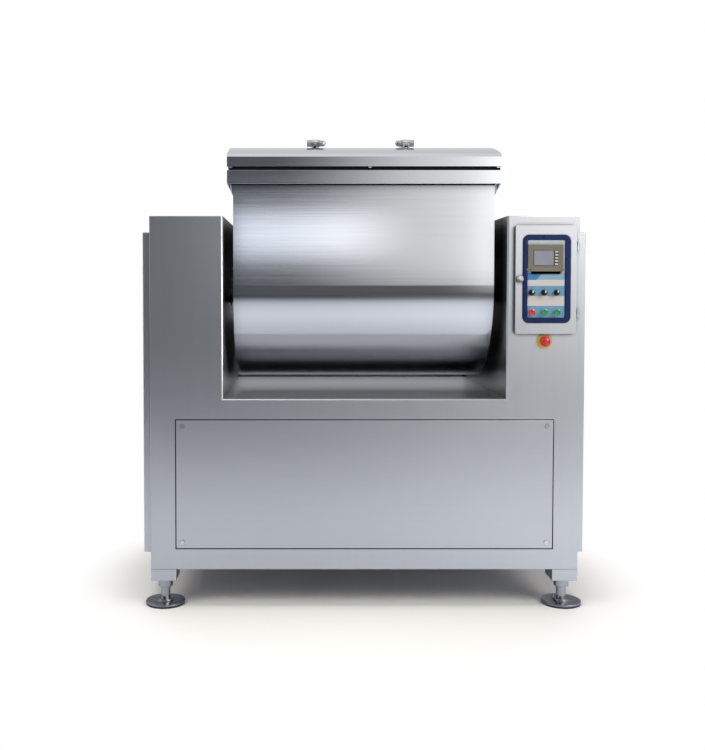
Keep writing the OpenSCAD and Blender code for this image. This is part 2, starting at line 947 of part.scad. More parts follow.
// Outline of a belt pulley: a hub drum between two rims
module pulley(d, x, shaft_end) {
    bar_x(d, x, x + pulley_w);
    rim_w = (pulley_w - belt_w) / 2 - move_gap;
    for (rx = [x, x + pulley_w - rim_w])
        bar_x(d + 2 * pulley_rim, rx, rx + rim_w);
    bar_x(motor_shaft_d, x, shaft_end);
}

// Motor pulley with the motor shaft
module motor_pulley() {
    color("#77797d") from_front() translate([0, axis_depth, motor_z])
        pulley(motor_pulley_d, pulley_x, motor_x + motor_shaft_in - overrun);
}

// Reducer pulley with the reducer's input shaft
module reducer_pulley() {
    color("#77797d") from_front() translate([0, axis_depth, input_z])
        pulley(reducer_pulley_d, pulley_x, reducer_x + motor_shaft_in - overrun);
}

// Outline round both pulleys, at a distance from their drums
module belt_outline(out) {
    small_r = motor_pulley_d / 2 + out;
    large_r = reducer_pulley_d / 2 + out;
    span = input_z - motor_z;
    lean = asin((large_r - small_r) / span);
    translate([axis_depth, motor_z]) circle(r = small_r, $fn = arch_segments);
    translate([axis_depth, input_z]) circle(r = large_r, $fn = arch_segments);
    polygon([
        [axis_depth - small_r * cos(lean), motor_z - small_r * sin(lean)],
        [axis_depth + small_r * cos(lean), motor_z - small_r * sin(lean)],
        [axis_depth + large_r * cos(lean), input_z - large_r * sin(lean)],
        [axis_depth - large_r * cos(lean), input_z - large_r * sin(lean)],
    ]);
}

// Flat belt round the two pulleys
module drive_belt() {
    color("#26262a") from_front()
        across(belt_x, belt_x + belt_w)
            difference() {
                belt_outline(move_gap + belt_t);
                belt_outline(move_gap);
            }
}

// Shaft-mounted reducer on four standoffs from the bearing plate
module agitator_reducer() {
    color("#4a6a8c") from_front()
        difference() {
            union() {
                across(reducer_x, reducer_x + reducer_l) {
                    translate([axis_depth, axis_z]) circle(r = reducer_r);
                    translate([axis_depth, input_z]) circle(r = reducer_input_r);
                    polygon([[axis_depth - reducer_r, axis_z], [axis_depth + reducer_r, axis_z],
                        [axis_depth + reducer_input_r, input_z], [axis_depth - reducer_input_r, input_z]]);
                }
                translate([0, axis_depth, axis_z])
                    for (turn = [45 : 90 : 315])
                        rotate([turn, 0, 0]) translate([0, 0, standoff_r])
                            bar_x(standoff_d, reducer_x + reducer_l - overrun,
                                -bearing_plate_out_x - bearing_foot_t);
            }
            translate([0, axis_depth, axis_z])
                bar_x(hollow_bore_d, reducer_x - overrun, reducer_x + reducer_l + overrun);
            translate([0, axis_depth, input_z])
                bar_x(motor_shaft_d + 2 * run_gap, reducer_x - overrun, reducer_x + motor_shaft_in);
        }
}

// Worm gearmotor that tilts the trough by its right trunnion
module tilt_gearmotor() {
    x1 = tilt_box_x + tilt_box_l;
    motor_top = axis_z - tilt_box_half;
    color("#4a6a8c") from_front() {
        difference() {
            union() {
                block([tilt_box_x, x1], [axis_depth - tilt_box_half, axis_depth + tilt_box_half],
                    [motor_top, axis_z + tilt_box_half]);
                for (sy = [-1, 1], sz = [-1, 1])
                    translate([0, axis_depth + sy * tilt_standoff, axis_z + sz * tilt_standoff])
                        bar_x(standoff_d, bearing_plate_out_x, tilt_box_x + overrun);
            }
            translate([0, axis_depth, axis_z])
                bar_x(trunnion_d + 2 * run_gap, tilt_box_x - overrun, x1 + overrun);
        }
        translate([tilt_box_x + tilt_box_l / 2, axis_depth + tilt_motor_depth, 0]) {
            translate([0, 0, motor_top - tilt_motor_l]) cylinder(d = tilt_motor_d, h = tilt_motor_l);
            translate([0, 0, motor_top - tilt_motor_l - tilt_cap_h])
                cylinder(d = tilt_cap_d, h = tilt_cap_h);
        }
    }
}

// Rotary union in the end of the right trunnion, with its port downward
module rotary_union() {
    color("#b58a4a") from_front() translate([0, axis_depth, axis_z])
        difference() {
            union() {
                bar_x(trunnion_bore - 2 * run_gap, right_trunnion_x - union_spigot_l,
                    right_trunnion_x + move_gap);
                bar_x(union_d, right_trunnion_x + move_gap, right_trunnion_x + union_l);
                translate([hose_x, 0, -union_port_l]) cylinder(d = union_port_d, h = union_port_l);
            }
            bar_x(hose_bore, right_trunnion_x - union_spigot_l - overrun, hose_x);
            translate([hose_x, 0, -union_port_l - overrun])
                cylinder(d = hose_bore, h = union_port_l + overrun);
        }
}

// Section of the vacuum hose
module hose_ring() {
    difference() {
        circle(d = hose_d);
        circle(d = hose_bore);
    }
}

// Vacuum hose: straight down from the union, a quarter bend and straight to the pump
module vacuum_hose() {
    top_z = axis_z - union_port_l;
    bend_z = hose_z + hose_bend;
    color("#2c2d30") from_front() translate([0, axis_depth, 0]) {
        translate([hose_x, 0, bend_z]) linear_extrude(top_z - bend_z) hose_ring();
        translate([hose_x - hose_bend, 0, bend_z])
            rotate([-90, 0, 0]) rotate_extrude(angle = 90) translate([hose_bend, 0]) hose_ring();
        translate([pump_x + pump_l + pump_port_l, 0, hose_z]) rotate([0, 90, 0])
            linear_extrude(hose_run) hose_ring();
    }
}

// Vacuum pump: feet, pump head, motor and port
module vacuum_pump() {
    rail_top = lower_rail_z + rail_h;
    body_z = rail_top + pump_foot_h;
    head_x = pump_x + pump_l * (1 - pump_head_share);
    color("#6c7a6a") from_front() {
        block([pump_x, pump_x + pump_l], [axis_depth - pump_half_w, axis_depth + pump_half_w],
            [rail_top, body_z]);
        block([head_x, pump_x + pump_l], [axis_depth - pump_half_w, axis_depth + pump_half_w],
            [body_z, body_z + pump_body_h]);
        translate([0, axis_depth, hose_z]) {
            bar_x(pump_motor_d, pump_x, head_x);
            bar_x(union_port_d, pump_x + pump_l, pump_x + pump_l + pump_port_l);
        }
        block([pump_x, head_x], [axis_depth - pump_half_w / 2, axis_depth + pump_half_w / 2],
            [body_z, hose_z]);
    }
}

// Steel box in the column behind the control door, open to the front
module control_box() {
    x = [opening_left - box_over, opening_right + box_over];
    z = [door_z - door_h / 2 + opening_inset_z - box_over, door_z + door_h / 2 - opening_inset_z + box_over];
    w = box_wall;
    color("#c9cacd") from_front()
        difference() {
            block([x[0] - w, x[1] + w], [skin_t, skin_t + box_depth], [z[0] - w, z[1] + w]);
            block(x, [skin_t - overrun, skin_t + box_depth - w], z);
        }
}

// Mounting plate with an inverter, contactors, relays and a terminal row
module electrical_parts() {
    x0 = opening_left - box_over + plate_inset;
    x1 = opening_right + box_over - plate_inset;
    z0 = door_z - door_h / 2 + opening_inset_z - box_over + plate_inset;
    z1 = door_z + door_h / 2 - opening_inset_z + box_over - plate_inset;
    back = skin_t + box_depth - box_wall;
    face = back - plate_t;
    w = x1 - x0;
    h = z1 - z0;
    // Each device as shares of the plate: left, right, lower, upper, depth
    device_shares = [
        [0.04, 0.48, 0.58, 0.96, 1], [0.56, 0.74, 0.74, 0.96, 0.8], [0.78, 0.96, 0.74, 0.96, 0.8],
        [0.56, 0.96, 0.48, 0.66, 0.6], [0.04, 0.22, 0.3, 0.5, 0.7], [0.28, 0.46, 0.3, 0.5, 0.7],
        [0.52, 0.7, 0.3, 0.42, 0.7], [0.76, 0.94, 0.3, 0.42, 0.7], [0.04, 0.96, 0.08, 0.18, 0.4],
    ];
    color("#8c8f94") from_front() {
        block([x0, x1], [face, back], [z0, z1]);
        for (s = device_shares)
            block([x0 + s[0] * w, x0 + s[1] * w], [face - s[4] * device_d, face],
                [z0 + s[2] * h, z0 + s[3] * h]);
    }
}

// Cable gland in the rear skin
module cable_gland() {
    color("#2b2c2f") from_front() translate([gland_x, 0, gland_z])
        difference() {
            union() {
                bar_y(gland_barrel_d, rear_inner - gland_hex_t, body_d + gland_hex_t);
                translate([0, body_d, 0]) rotate([-90, 0, 0])
                    cylinder(d = gland_hex_d, h = gland_hex_t, $fn = 6);
                translate([0, rear_inner - gland_hex_t, 0]) rotate([-90, 0, 0])
                    cylinder(d = gland_hex_d, h = gland_hex_t, $fn = 6);
                bar_y(gland_dome_d, body_d + gland_hex_t, body_d + gland_reach);
            }
            bar_y(gland_bore, rear_inner - gland_hex_t - overrun, body_d + gland_reach + overrun);
        }
}

// Fixed halves of the door hinges with their pins
module door_hinges() {
    half_h = knuckle_h / 2;
    color("#b9bbc0") from_front()
        for (sz = [-1, 1])
            translate([hinge_x, 0, door_z + sz * hinge_offset - half_h]) {
                block([-knuckle_d / 2, knuckle_d / 2], [hinge_pin_depth, 0], [0, half_h]);
                translate([0, hinge_pin_depth, 0]) {
                    cylinder(d = knuckle_d, h = half_h);
                    cylinder(d = hinge_pin_d, h = knuckle_h);
                }
            }
}

// Places of the knobs and buttons, three in each of two rows
module switch_places() {
    for (k = [-1 : 1], z = [knob_z, button_z])
        translate([switch_x + k * switch_pitch, 0, z]) children();
}

// Cut-outs shared by the overlay and the door
module panel_cutouts() {
    translate([hmi_x, hmi_z])
        square([hmi_w - 2 * hmi_body_inset + 2 * run_gap, hmi_h - 2 * hmi_body_inset + 2 * run_gap],
            center = true);
    for (k = [-1 : 1], z = [knob_z, button_z])
        translate([switch_x + k * switch_pitch, z]) circle(d = switch_hole_d);
}

// Shallow door with its half of each hinge
module control_door() {
    right = door_x + door_w / 2;
    half_h = knuckle_h / 2;
    color("#c9ccd2") from_front() {
        inward(door_front, door_front + door_wall)
            difference() {
                translate([door_x, door_z]) round_rect(door_w, door_h, door_corner_r);
                translate([lock_x, lock_z]) circle(d = lock_barrel_d + 2 * run_gap);
                panel_cutouts();
            }
        inward(door_front + door_wall, -door_gap)
            translate([door_x, door_z])
                difference() {
                    round_rect(door_w, door_h, door_corner_r);
                    round_rect(door_w - 2 * door_wall, door_h - 2 * door_wall, door_corner_r - door_wall);
                }
        for (sz = [-1, 1])
            translate([0, 0, door_z + sz * hinge_offset + move_gap])
                difference() {
                    union() {
                        block([right - door_wall, hinge_x],
                            [hinge_pin_depth - knuckle_d / 4, hinge_pin_depth + knuckle_d / 4],
                            [0, half_h - move_gap]);
                        translate([hinge_x, hinge_pin_depth, 0])
                            cylinder(d = knuckle_d, h = half_h - move_gap);
                    }
                    translate([hinge_x, hinge_pin_depth, -overrun])
                        cylinder(d = hinge_pin_d + 2 * run_gap, h = knuckle_h);
                }
    }
}

// Raised blue frame round the controls
module blue_bezel() {
    color("#1c3a7a") from_front()
        inward(door_front - bezel_t, door_front)
            difference() {
                translate([bezel_x, bezel_z]) round_rect(bezel_w, bezel_h, bezel_corner_r);
                translate([window_x, bezel_z]) round_rect(window_w, window_h, window_corner_r);
            }
}

// Overlay inside the frame
module overlay_plate() {
    color("#dfe6ea") from_front()
        inward(overlay_front, door_front)
            difference() {
                translate([window_x, bezel_z])
                    round_rect(window_w - 2 * run_gap, window_h - 2 * run_gap, window_corner_r);
                panel_cutouts();
            }
}

// Operator panel: a front frame and a body through the door
module operator_panel() {
    front = overlay_front - hmi_t;
    color("#7d7263") from_front()
        difference() {
            translate([hmi_x, 0, hmi_z]) {
                inward(front, overlay_front) round_rect(hmi_w, hmi_h, hmi_body_inset / 2);
                inward(overlay_front, overlay_front + hmi_body_d)
                    square([hmi_w - 2 * hmi_body_inset, hmi_h - 2 * hmi_body_inset], center = true);
            }
            translate([screen_x, 0, hmi_z])
                inward(front - overrun, front + screen_t)
                    square([screen_w, screen_h], center = true);
        }
}

// Screen in the operator panel
module operator_screen() {
    front = overlay_front - hmi_t;
    color("#9496a3") from_front() translate([screen_x, 0, hmi_z])
        inward(front, front + screen_t)
            square([screen_w - 2 * run_gap, screen_h - 2 * run_gap], center = true);
}

// Membrane keys beside the screen
module operator_keys() {
    front = overlay_front - hmi_t;
    color("#4c463d") from_front()
        for (k = [0 : key_count - 1])
            translate([key_x, 0, hmi_z + (k - (key_count - 1) / 2) * key_pitch])
                inward(front - key_t, front) round_rect(key_w, key_h, key_t);
}

// Rings, barrels and contact blocks of the knobs and buttons
module switch_bodies() {
    back = door_front + door_wall;
    color("#c9cacd") from_front() switch_places()
        difference() {
            union() {
                bar_y(switch_ring_d, switch_front, overlay_front);
                bar_y(switch_barrel_d, overlay_front, back);
                block([-switch_block[0] / 2, switch_block[0] / 2], [back, back + switch_block[1]],
                    [-switch_block[2] / 2, switch_block[2] / 2]);
            }
            bar_y(switch_cap_d + 2 * run_gap, switch_front - overrun, switch_front + button_cap_h);
        }
}

// Lock: knob clear of the bezel, barrel and cam, shown with the cam up
module door_lock() {
    cam_front = skin_t + door_gap;
    color("#d5d6d9") from_front() translate([lock_x, 0, lock_z]) {
        bar_y(lock_d, door_front - lock_stand - lock_head_t, door_front - lock_stand);
        bar_y(lock_barrel_d, door_front - lock_stand, cam_front + cam_t);
        inward(cam_front, cam_front + cam_t) {
            translate([-cam_w / 2, 0]) square([cam_w, cam_l - cam_w / 2]);
            translate([0, cam_l - cam_w / 2]) circle(d = cam_w);
        }
    }
}

// Selector knob with its grip bar
module selector(k) {
    color("#1b1b1d") from_front() translate([switch_x + k * switch_pitch, 0, knob_z]) {
        bar_y(switch_cap_d, switch_front - knob_base_h, switch_front + knob_base_h);
        intersection() {
            bar_y(switch_cap_d, switch_front - knob_h, switch_front - knob_base_h);
            block([-knob_bar_w / 2, knob_bar_w / 2], [switch_front - knob_h, switch_front - knob_base_h],
                [-switch_cap_d, switch_cap_d]);
        }
    }
}

module selector_left() {
    selector(-1);
}

module selector_middle() {
    selector(0);
}

module selector_right() {
    selector(1);
}

// Cap of a push button
module button_cap(k) {
    from_front() translate([switch_x + k * switch_pitch, 0, button_z])
        bar_y(switch_cap_d, switch_front - button_show, switch_front - button_show + button_cap_h);
}

module stop_button() {
    color("#d2232a") button_cap(-1);
}

module start_button() {
    color("#1f9a5a") button_cap(0);
}

module jog_button() {
    color("#1f9a5a") button_cap(1);
}

// Round yellow plate behind the emergency stop
module estop_plate() {
    color("#d9b13b") from_front() translate([estop_x, 0, estop_z])
        difference() {
            bar_y(estop_plate_d, -estop_plate_t, 0);
            bar_y(estop_hole_d, -estop_plate_t - overrun, overrun);
        }
}

// Collar and barrel of the emergency stop, through the skin
module estop_body() {
    color("#3a3b3e") from_front() translate([estop_x, 0, estop_z])
        difference() {
            union() {
                bar_y(estop_collar_d, -estop_plate_t - estop_collar_h, -estop_plate_t);
                bar_y(estop_hole_d - 2 * run_gap, -estop_plate_t, estop_barrel_l);
            }
            bar_y(estop_stem_d + 2 * run_gap, -estop_plate_t - estop_collar_h - overrun,
                estop_barrel_l + overrun);
        }
}

// Mushroom button with its stem
module estop_button() {
    back = estop_plate_t + estop_collar_h + estop_travel + estop_lift;
    r = estop_cap_d / 2;
    edge_h = estop_cap_h * estop_edge_share;
    dome_h = estop_cap_h - edge_h;
    dome_r = (r * r + dome_h * dome_h) / (2 * dome_h);
    color("#c8231f") from_front() translate([estop_x, 0, estop_z]) {
        rotate([90, 0, 0]) {
            translate([0, 0, back]) cylinder(r = r, h = edge_h);
            intersection() {
                translate([0, 0, back + edge_h]) cylinder(r = r, h = dome_h);
                translate([0, 0, back + estop_cap_h - dome_r]) sphere(r = dome_r);
            }
        }
        bar_y(estop_stem_d, -back, estop_barrel_l - estop_travel - estop_lift);
    }
}

// Outline of the trough: a half round with upright walls
module trough_outline(r, top) {
    translate([axis_depth, axis_z]) {
        circle(r = r);
        translate([-r, 0]) square([2 * r, top]);
    }
}

// Shell of the trough between its end plates
module trough_shell() {
    top = flange_under - axis_z;
    color("#b9bfca") from_front()
        across(-trough_inner_l, trough_inner_l)
            difference() {
                trough_outline(trough_r, top);
                trough_outline(trough_r - trough_t, top + overrun);
            }
}

// End plate with its hub and hollow trunnion
module trough_end(tip) {
    difference() {
        union() {
            across(trough_inner_l, half_l) trough_outline(trough_r, flange_under - axis_z);
            translate([0, axis_depth, axis_z]) {
                bar_x(hub_d, half_l, half_l + hub_t);
                bar_x(trunnion_d, half_l, tip);
            }
        }
        translate([0, axis_depth, axis_z])
            bar_x(trunnion_bore, trough_inner_l - overrun, tip + overrun);
    }
}

module trough_ends() {
    color("#a3a8b2") from_front() {
        trough_end(right_trunnion_x);
        mirror([1, 0, 0]) trough_end(left_trunnion_x);
    }
}

// Seals between the trunnions and the agitator shaft
module shaft_seals() {
    color("#2f3033") from_front() translate([0, axis_depth, axis_z])
        both_sides()
            difference() {
                bar_x(trunnion_bore - 2 * run_gap, trough_inner_l, trough_inner_l + shaft_seal_l);
                bar_x(hollow_bore_d, trough_inner_l - overrun, trough_inner_l + shaft_seal_l + overrun);
            }
}

// Rectangular frame round the mouth of the trough, with its corners at two heights
module mouth_ring(outer_in, width, z) {
    x = flange_l / 2 - outer_in;
    y = [flange_front + outer_in, flange_rear - outer_in];
    difference() {
        block([-x, x], y, z);
        block([width - x, x - width], [y[0] + width, y[1] - width], [z[0] - overrun, z[1] + overrun]);
    }
}

// Flange with its skirt, end gussets and lid hinge brackets
module trough_flange() {
    x = flange_l / 2;
    inner_x = trough_inner_l;
    inner_y = [axis_depth - trough_r + trough_t, axis_depth + trough_r - trough_t];
    color("#c6c9cf") from_front() {
        difference() {
            block([-x, x], [flange_front, flange_rear], [flange_under, flange_top]);
            block([-inner_x, inner_x], inner_y, [flange_under - overrun, flange_top + overrun]);
        }
        mouth_ring(0, flange_skirt_t, [flange_bottom, flange_under + overrun]);
        both_sides() {
            for (y = [axis_depth - trough_r + gusset_t, axis_depth, axis_depth + trough_r - gusset_t])
                translate([0, y, 0])
                    inward(-gusset_t / 2, gusset_t / 2)
                        polygon([[half_l, flange_bottom - gusset_h], [half_l, flange_under + overrun],
                            [x, flange_under + overrun], [x, flange_bottom]]);
            for (s = [-1, 1])
                hinge_bracket(arm_x + s * (arm_t / 2 + bracket_gap + bracket_t / 2));
        }
    }
}

// Bracket that holds the lid's hinge shaft behind the flange
module hinge_bracket(x) {
    across(x - bracket_t / 2, x + bracket_t / 2)
        difference() {
            union() {
                translate([hinge_depth, hinge_z]) circle(r = hinge_boss_r);
                polygon([[flange_rear - flange_skirt_t, flange_bottom], [flange_rear - flange_skirt_t, flange_top],
                    [hinge_depth - hinge_boss_r, hinge_z], [hinge_depth + hinge_boss_r, hinge_z]]);
            }
            translate([hinge_depth, hinge_z]) circle(d = lid_shaft_d + 2 * run_gap);
        }
}

// Seal between the flange and the lid
module lid_seal() {
    color("#1c1c1e") from_front()
        mouth_ring(seal_inset, seal_w, [flange_top + move_gap, lid_bottom]);
}

// Section of the lid in depth and height, drawn in by a distance
module lid_section(in, bottom) {
    f = flange_front + in;
    r = flange_rear - in;
    bend = lid_bend_d - in / 2;
    top = lid_edge_z - in;
    polygon([[f, bottom], [f, lid_band_top - in / 2], [f + bend, top], [r - bend, top],
        [r, lid_band_top - in / 2], [r, bottom]]);
    intersection() {
        translate([axis_depth, arch_z]) circle(r = arch_r - in, $fn = arch_segments);
        translate([f + bend, top]) square([r - f - 2 * bend, lid_arch_h + in]);
    }
}

// Arched lid with closed ends, a rim above the seal and the lugs of the pivot bolts
module lid_shell() {
    x = flange_l / 2;
    color("#c9ccd2") from_front() {
        difference() {
            across(-x, x) lid_section(0, lid_bottom);
            across(lid_t - x, x - lid_t) lid_section(lid_t, lid_bottom - overrun);
        }
        mouth_ring(0, lid_rim_w, [lid_bottom, lid_bottom + lid_t]);
        both_sides()
            for (s = [-1, 1])
                pivot_lug(arm_x + s * (arm_t / 2 + move_gap + lug_t / 2));
    }
}

// Lug on the crown with its bolt hole
module pivot_lug(x) {
    across(x - lug_t / 2, x + lug_t / 2)
        translate([lid_pivot_depth, pivot_z])
            difference() {
                union() {
                    circle(r = lug_r);
                    translate([-lug_r, -pivot_rise - lid_t / 2])
                        square([2 * lug_r, pivot_rise + lid_t / 2]);
                }
                circle(d = lid_bolt_d + 2 * run_gap);
            }
}

// Curved arm from the hinge shaft over the crown to a pivot bolt
module lid_arm(x) {
    inner_r = arch_r + arm_gap;
    across(x - arm_t / 2, x + arm_t / 2)
        difference() {
            union() {
                intersection() {
                    translate([axis_depth, arch_z])
                        difference() {
                            circle(r = inner_r + arm_h, $fn = arch_segments);
                            circle(r = inner_r, $fn = arch_segments);
                        }
                    translate([lid_pivot_depth, lid_bottom])
                        square([hinge_depth + arm_h / 2 - lid_pivot_depth,
                            lid_crown - lid_bottom + 2 * arm_h]);
                }
                translate([lid_pivot_depth, pivot_z]) circle(r = lug_r);
                translate([hinge_depth - arm_h / 2, hinge_z]) square([arm_h, lid_edge_z - hinge_z]);
                translate([hinge_depth, hinge_z]) circle(r = hinge_boss_r);
            }
            translate([lid_pivot_depth, pivot_z]) circle(d = lid_bolt_d + 2 * run_gap);
            translate([hinge_depth, hinge_z]) circle(d = lid_shaft_d + 2 * run_gap);
        }
}

module lid_arms() {
    color("#b4b7bd") from_front() both_sides() lid_arm(arm_x);
}

// Hinge shaft and the two pivot bolts with their domed nuts
module lid_bolts() {
    outer = arm_x + arm_t / 2 + move_gap + lug_t;
    inner = arm_x - arm_t / 2 - move_gap - lug_t;
    shaft_half = arm_x + arm_t / 2 + bracket_gap + 2 * bracket_t;
    color("#d5d6d9") from_front() {
        translate([0, hinge_depth, hinge_z]) bar_x(lid_shaft_d, -shaft_half, shaft_half);
        both_sides() translate([0, lid_pivot_depth, pivot_z]) {
            bar_x(lid_bolt_d, inner, outer);
            bar_x(bolt_head_d, outer, outer + bolt_head_t);
            bar_x(washer_d, inner - washer_t, inner);
            translate([inner - washer_t - acorn_hex_t, 0, 0]) rotate([0, 90, 0])
                cylinder(d = acorn_hex_d, h = acorn_hex_t, $fn = 6);
            translate([inner - washer_t - acorn_hex_t, 0, 0])
                rotate([0, -90, 0]) intersection() {
                    sphere(d = acorn_dome_d);
                    cylinder(d = acorn_dome_d, h = acorn_dome_d);
                }
        }
    }
}

// Agitator: shaft, end collars and arms with slanted paddles
module agitator() {
    arm_l = paddle_reach - paddle_t / 2;
    color("#b0b3b9") from_front() translate([0, axis_depth, axis_z]) {
        bar_x(shaft_d, agitator_left_x, agitator_right_x);
        for (k = [0 : paddle_count - 1])
            translate([(k - (paddle_count - 1) / 2) * paddle_pitch, 0, 0])
                rotate([k * paddle_turn, 0, 0]) {
                    cylinder(d = paddle_arm_d, h = arm_l);
                    translate([0, 0, arm_l])
                        rotate([0, 0, (k % 2 == 0 ? 1 : -1) * paddle_angle])
                            cube([paddle_l, paddle_w, paddle_t], center = true);
                }
        both_sides()
            bar_x(collar_d, trough_inner_l - collar_l, trough_inner_l - move_gap);
    }
}

base_legs();
base_rails();
column_posts();
bearing_plates();
bottom_plate();
front_skin();
rear_skin();
side_skins();
recess_walls();
recess_floor();
column_tops();
left_side_cover();
right_side_cover();
front_service_panel();
rear_louvre_panel();
cover_screws();
foot_nuts();
foot_spindles();
foot_discs();
foot_pads();
trunnion_bearings();
drive_motor();
agitator_reducer();
drive_belt();
tilt_gearmotor();
vacuum_pump();
vacuum_hose();
rotary_union();
control_box();
electrical_parts();
cable_gland();
door_hinges();
estop_plate();
estop_body();
estop_button();
control_door();
blue_bezel();
overlay_plate();
operator_panel();
operator_screen();
operator_keys();
switch_bodies();
door_lock();
selector_left();
selector_middle();
selector_right();
stop_button();
start_button();
jog_button();
trough_shell();
trough_ends();
trough_flange();
shaft_seals();
lid_shell();
lid_seal();
lid_arms();
lid_bolts();
agitator();
motor_pulley();
reducer_pulley();
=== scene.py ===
"""Vacuum dough mixer: brushed steel body, tilting trough, vacuum lid and control door."""
import math

import bmesh
import bpy
from mathutils import Matrix, Vector


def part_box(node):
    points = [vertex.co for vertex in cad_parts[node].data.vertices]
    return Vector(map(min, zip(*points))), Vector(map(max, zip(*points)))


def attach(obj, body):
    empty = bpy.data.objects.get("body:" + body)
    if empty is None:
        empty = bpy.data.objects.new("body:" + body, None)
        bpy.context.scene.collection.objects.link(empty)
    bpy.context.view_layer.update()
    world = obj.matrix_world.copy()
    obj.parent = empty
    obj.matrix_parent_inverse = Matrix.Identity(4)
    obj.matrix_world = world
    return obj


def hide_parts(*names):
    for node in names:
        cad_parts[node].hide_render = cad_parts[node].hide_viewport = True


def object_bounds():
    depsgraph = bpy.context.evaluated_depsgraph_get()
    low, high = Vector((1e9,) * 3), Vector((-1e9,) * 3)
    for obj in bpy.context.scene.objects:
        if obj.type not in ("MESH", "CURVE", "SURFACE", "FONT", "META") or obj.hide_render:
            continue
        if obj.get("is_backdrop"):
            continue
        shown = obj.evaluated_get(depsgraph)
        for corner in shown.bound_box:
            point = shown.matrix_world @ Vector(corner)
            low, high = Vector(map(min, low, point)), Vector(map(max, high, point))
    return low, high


bl_info = {
    "name": "Vacuum dough mixer",
    "version": (1, 0, 0),
    "blender": (4, 5, 0),
    "location": "3D View > Sidebar > Mixer",
    "description": "Dresses the vacuum dough mixer in its finishes and details its control door",
    "category": "Object",
}

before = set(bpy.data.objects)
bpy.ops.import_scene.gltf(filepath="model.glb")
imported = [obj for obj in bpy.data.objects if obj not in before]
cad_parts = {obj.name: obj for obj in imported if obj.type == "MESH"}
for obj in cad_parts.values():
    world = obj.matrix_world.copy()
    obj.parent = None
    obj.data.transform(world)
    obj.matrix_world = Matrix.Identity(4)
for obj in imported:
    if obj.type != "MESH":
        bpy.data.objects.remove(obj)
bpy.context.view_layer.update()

MM = 0.001
NEAR = 0.1 * MM  # corners this close to a plane are taken to lie in it
MERGED = 0.01 * MM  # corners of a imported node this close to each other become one
TINY = 0.001 * MM  # corners that are made here meet this closely
LONG = 20 * MM  # edges longer than this belong to a sheet and not to a bore
FORWARD = (0, -1, 0)  # towards the viewer
WHITE = (1, 1, 1, 1)


def linear(hex_text):
    """Turns an sRGB hex colour to a linear one."""
    parts = [int(hex_text[at:at + 2], 16) / 255 for at in (1, 3, 5)]
    return [p / 12.92 if p <= 0.04045 else ((p + 0.055) / 1.055) ** 2.4 for p in parts]


def colour(name, description, hex_text):
    """A colour that can be changed in the sidebar."""
    return bpy.props.FloatVectorProperty(
        name=name, description=description, default=linear(hex_text), size=3, min=0, max=1,
        subtype="COLOR")


def length(name, description, millimetres):
    """A length that can be changed in the sidebar."""
    return bpy.props.FloatProperty(
        name=name, description=description, default=millimetres * MM, min=0, unit="LENGTH",
        precision=4)


class MixerColours(bpy.types.PropertyGroup):
    """Colours of the mixer's finishes"""
    steel: colour("Steel", "Stainless steel of the skins and covers", "#c4c6c9")
    trough_steel: colour("Trough steel", "Stainless steel of the trough and the lid", "#c9cbcf")
    bezel: colour("Bezel", "Enamel of the raised bezel", "#0d2352")
    film: colour("Film", "Ground of the printed control film", "#cbc5c1")
    film_light: colour("Film light band", "Light band of the printed control film", "#6595b3")
    film_pale: colour("Film pale band", "Pale band beside the flash of the printed film", "#85a4b6")
    film_top: colour("Film top band", "Grey band at the top of the printed film", "#b3bcc3")
    film_strong: colour("Film flash", "Flash of the printed control film", "#2a76ad")
    panel_frame: colour("Operator panel", "Moulded frame of the operator panel", "#736a5c")
    screen: colour("Screen", "Unlit screen behind its glass", "#787a89")
    stop: colour("Stop button", "Cap of the stop button", "#c41f28")
    start: colour("Start button", "Caps of the start and jog buttons", "#14804a")
    estop_red: colour("Emergency stop", "Mushroom of the emergency stop", "#bf1620")
    estop_yellow: colour("Emergency stop plate", "Plate behind the emergency stop", "#d9b13b")
    machine_blue: colour("Drive paint", "Enamel of the motor and the gear units", "#27548c")
    machine_green: colour("Pump paint", "Enamel of the vacuum pump", "#3d6b58")


class MixerSizes(bpy.types.PropertyGroup):
    """Sizes of the mixer's bends, edges and small parts"""
    skin_bend: length("Skin bend", "Outer radius of the front skin's bent edges", 7)
    skin_return: length("Skin return", "Depth of the front skin's bent edge", 9)
    skin_edge: length("Skin edge", "Rounding of the front skin's outer edges", 2.4)
    cover_bend: length("Cover bend", "Outer radius of the side covers' edges", 4)
    panel_edge: length("Panel edge", "Rounding of the service panel's edge", 1)
    plate_edge: length("Plate edge", "Rounding of the flange and lid edges", 1.6)
    door_bend: length("Door bend", "Outer radius of the control door's edges", 3)
    bezel_roll: length("Bezel roll", "Rounding of the bezel's outer edge", 5.4)
    bezel_inner_roll: length("Bezel inner roll", "Rounding of the bezel's inner edge", 3.6)


def add_node(tree, kind, values=None, **settings):
    """Adds a node with its settings, and gives its inputs a value or another node's output."""
    node = tree.nodes.new(kind)
    for key, value in settings.items():
        setattr(node, key, value)
    for key, value in (values or {}).items():
        if isinstance(value, bpy.types.NodeSocket):
            tree.links.new(value, node.inputs[key])
        else:
            node.inputs[key].default_value = value
    return node


def solid(rgb):
    """A colour with full alpha, as the sockets want it."""
    return (*rgb, 1)


def shaded(rgb, share):
    """A colour made lighter or darker by a share, with full alpha."""
    return solid([min(1, part * share) for part in rgb])


def object_axes(tree):
    """The three coordinates of a point on the object, in metres."""
    place = add_node(tree, "ShaderNodeTexCoord")
    return add_node(tree, "ShaderNodeSeparateXYZ", {0: place.outputs["Object"]}).outputs


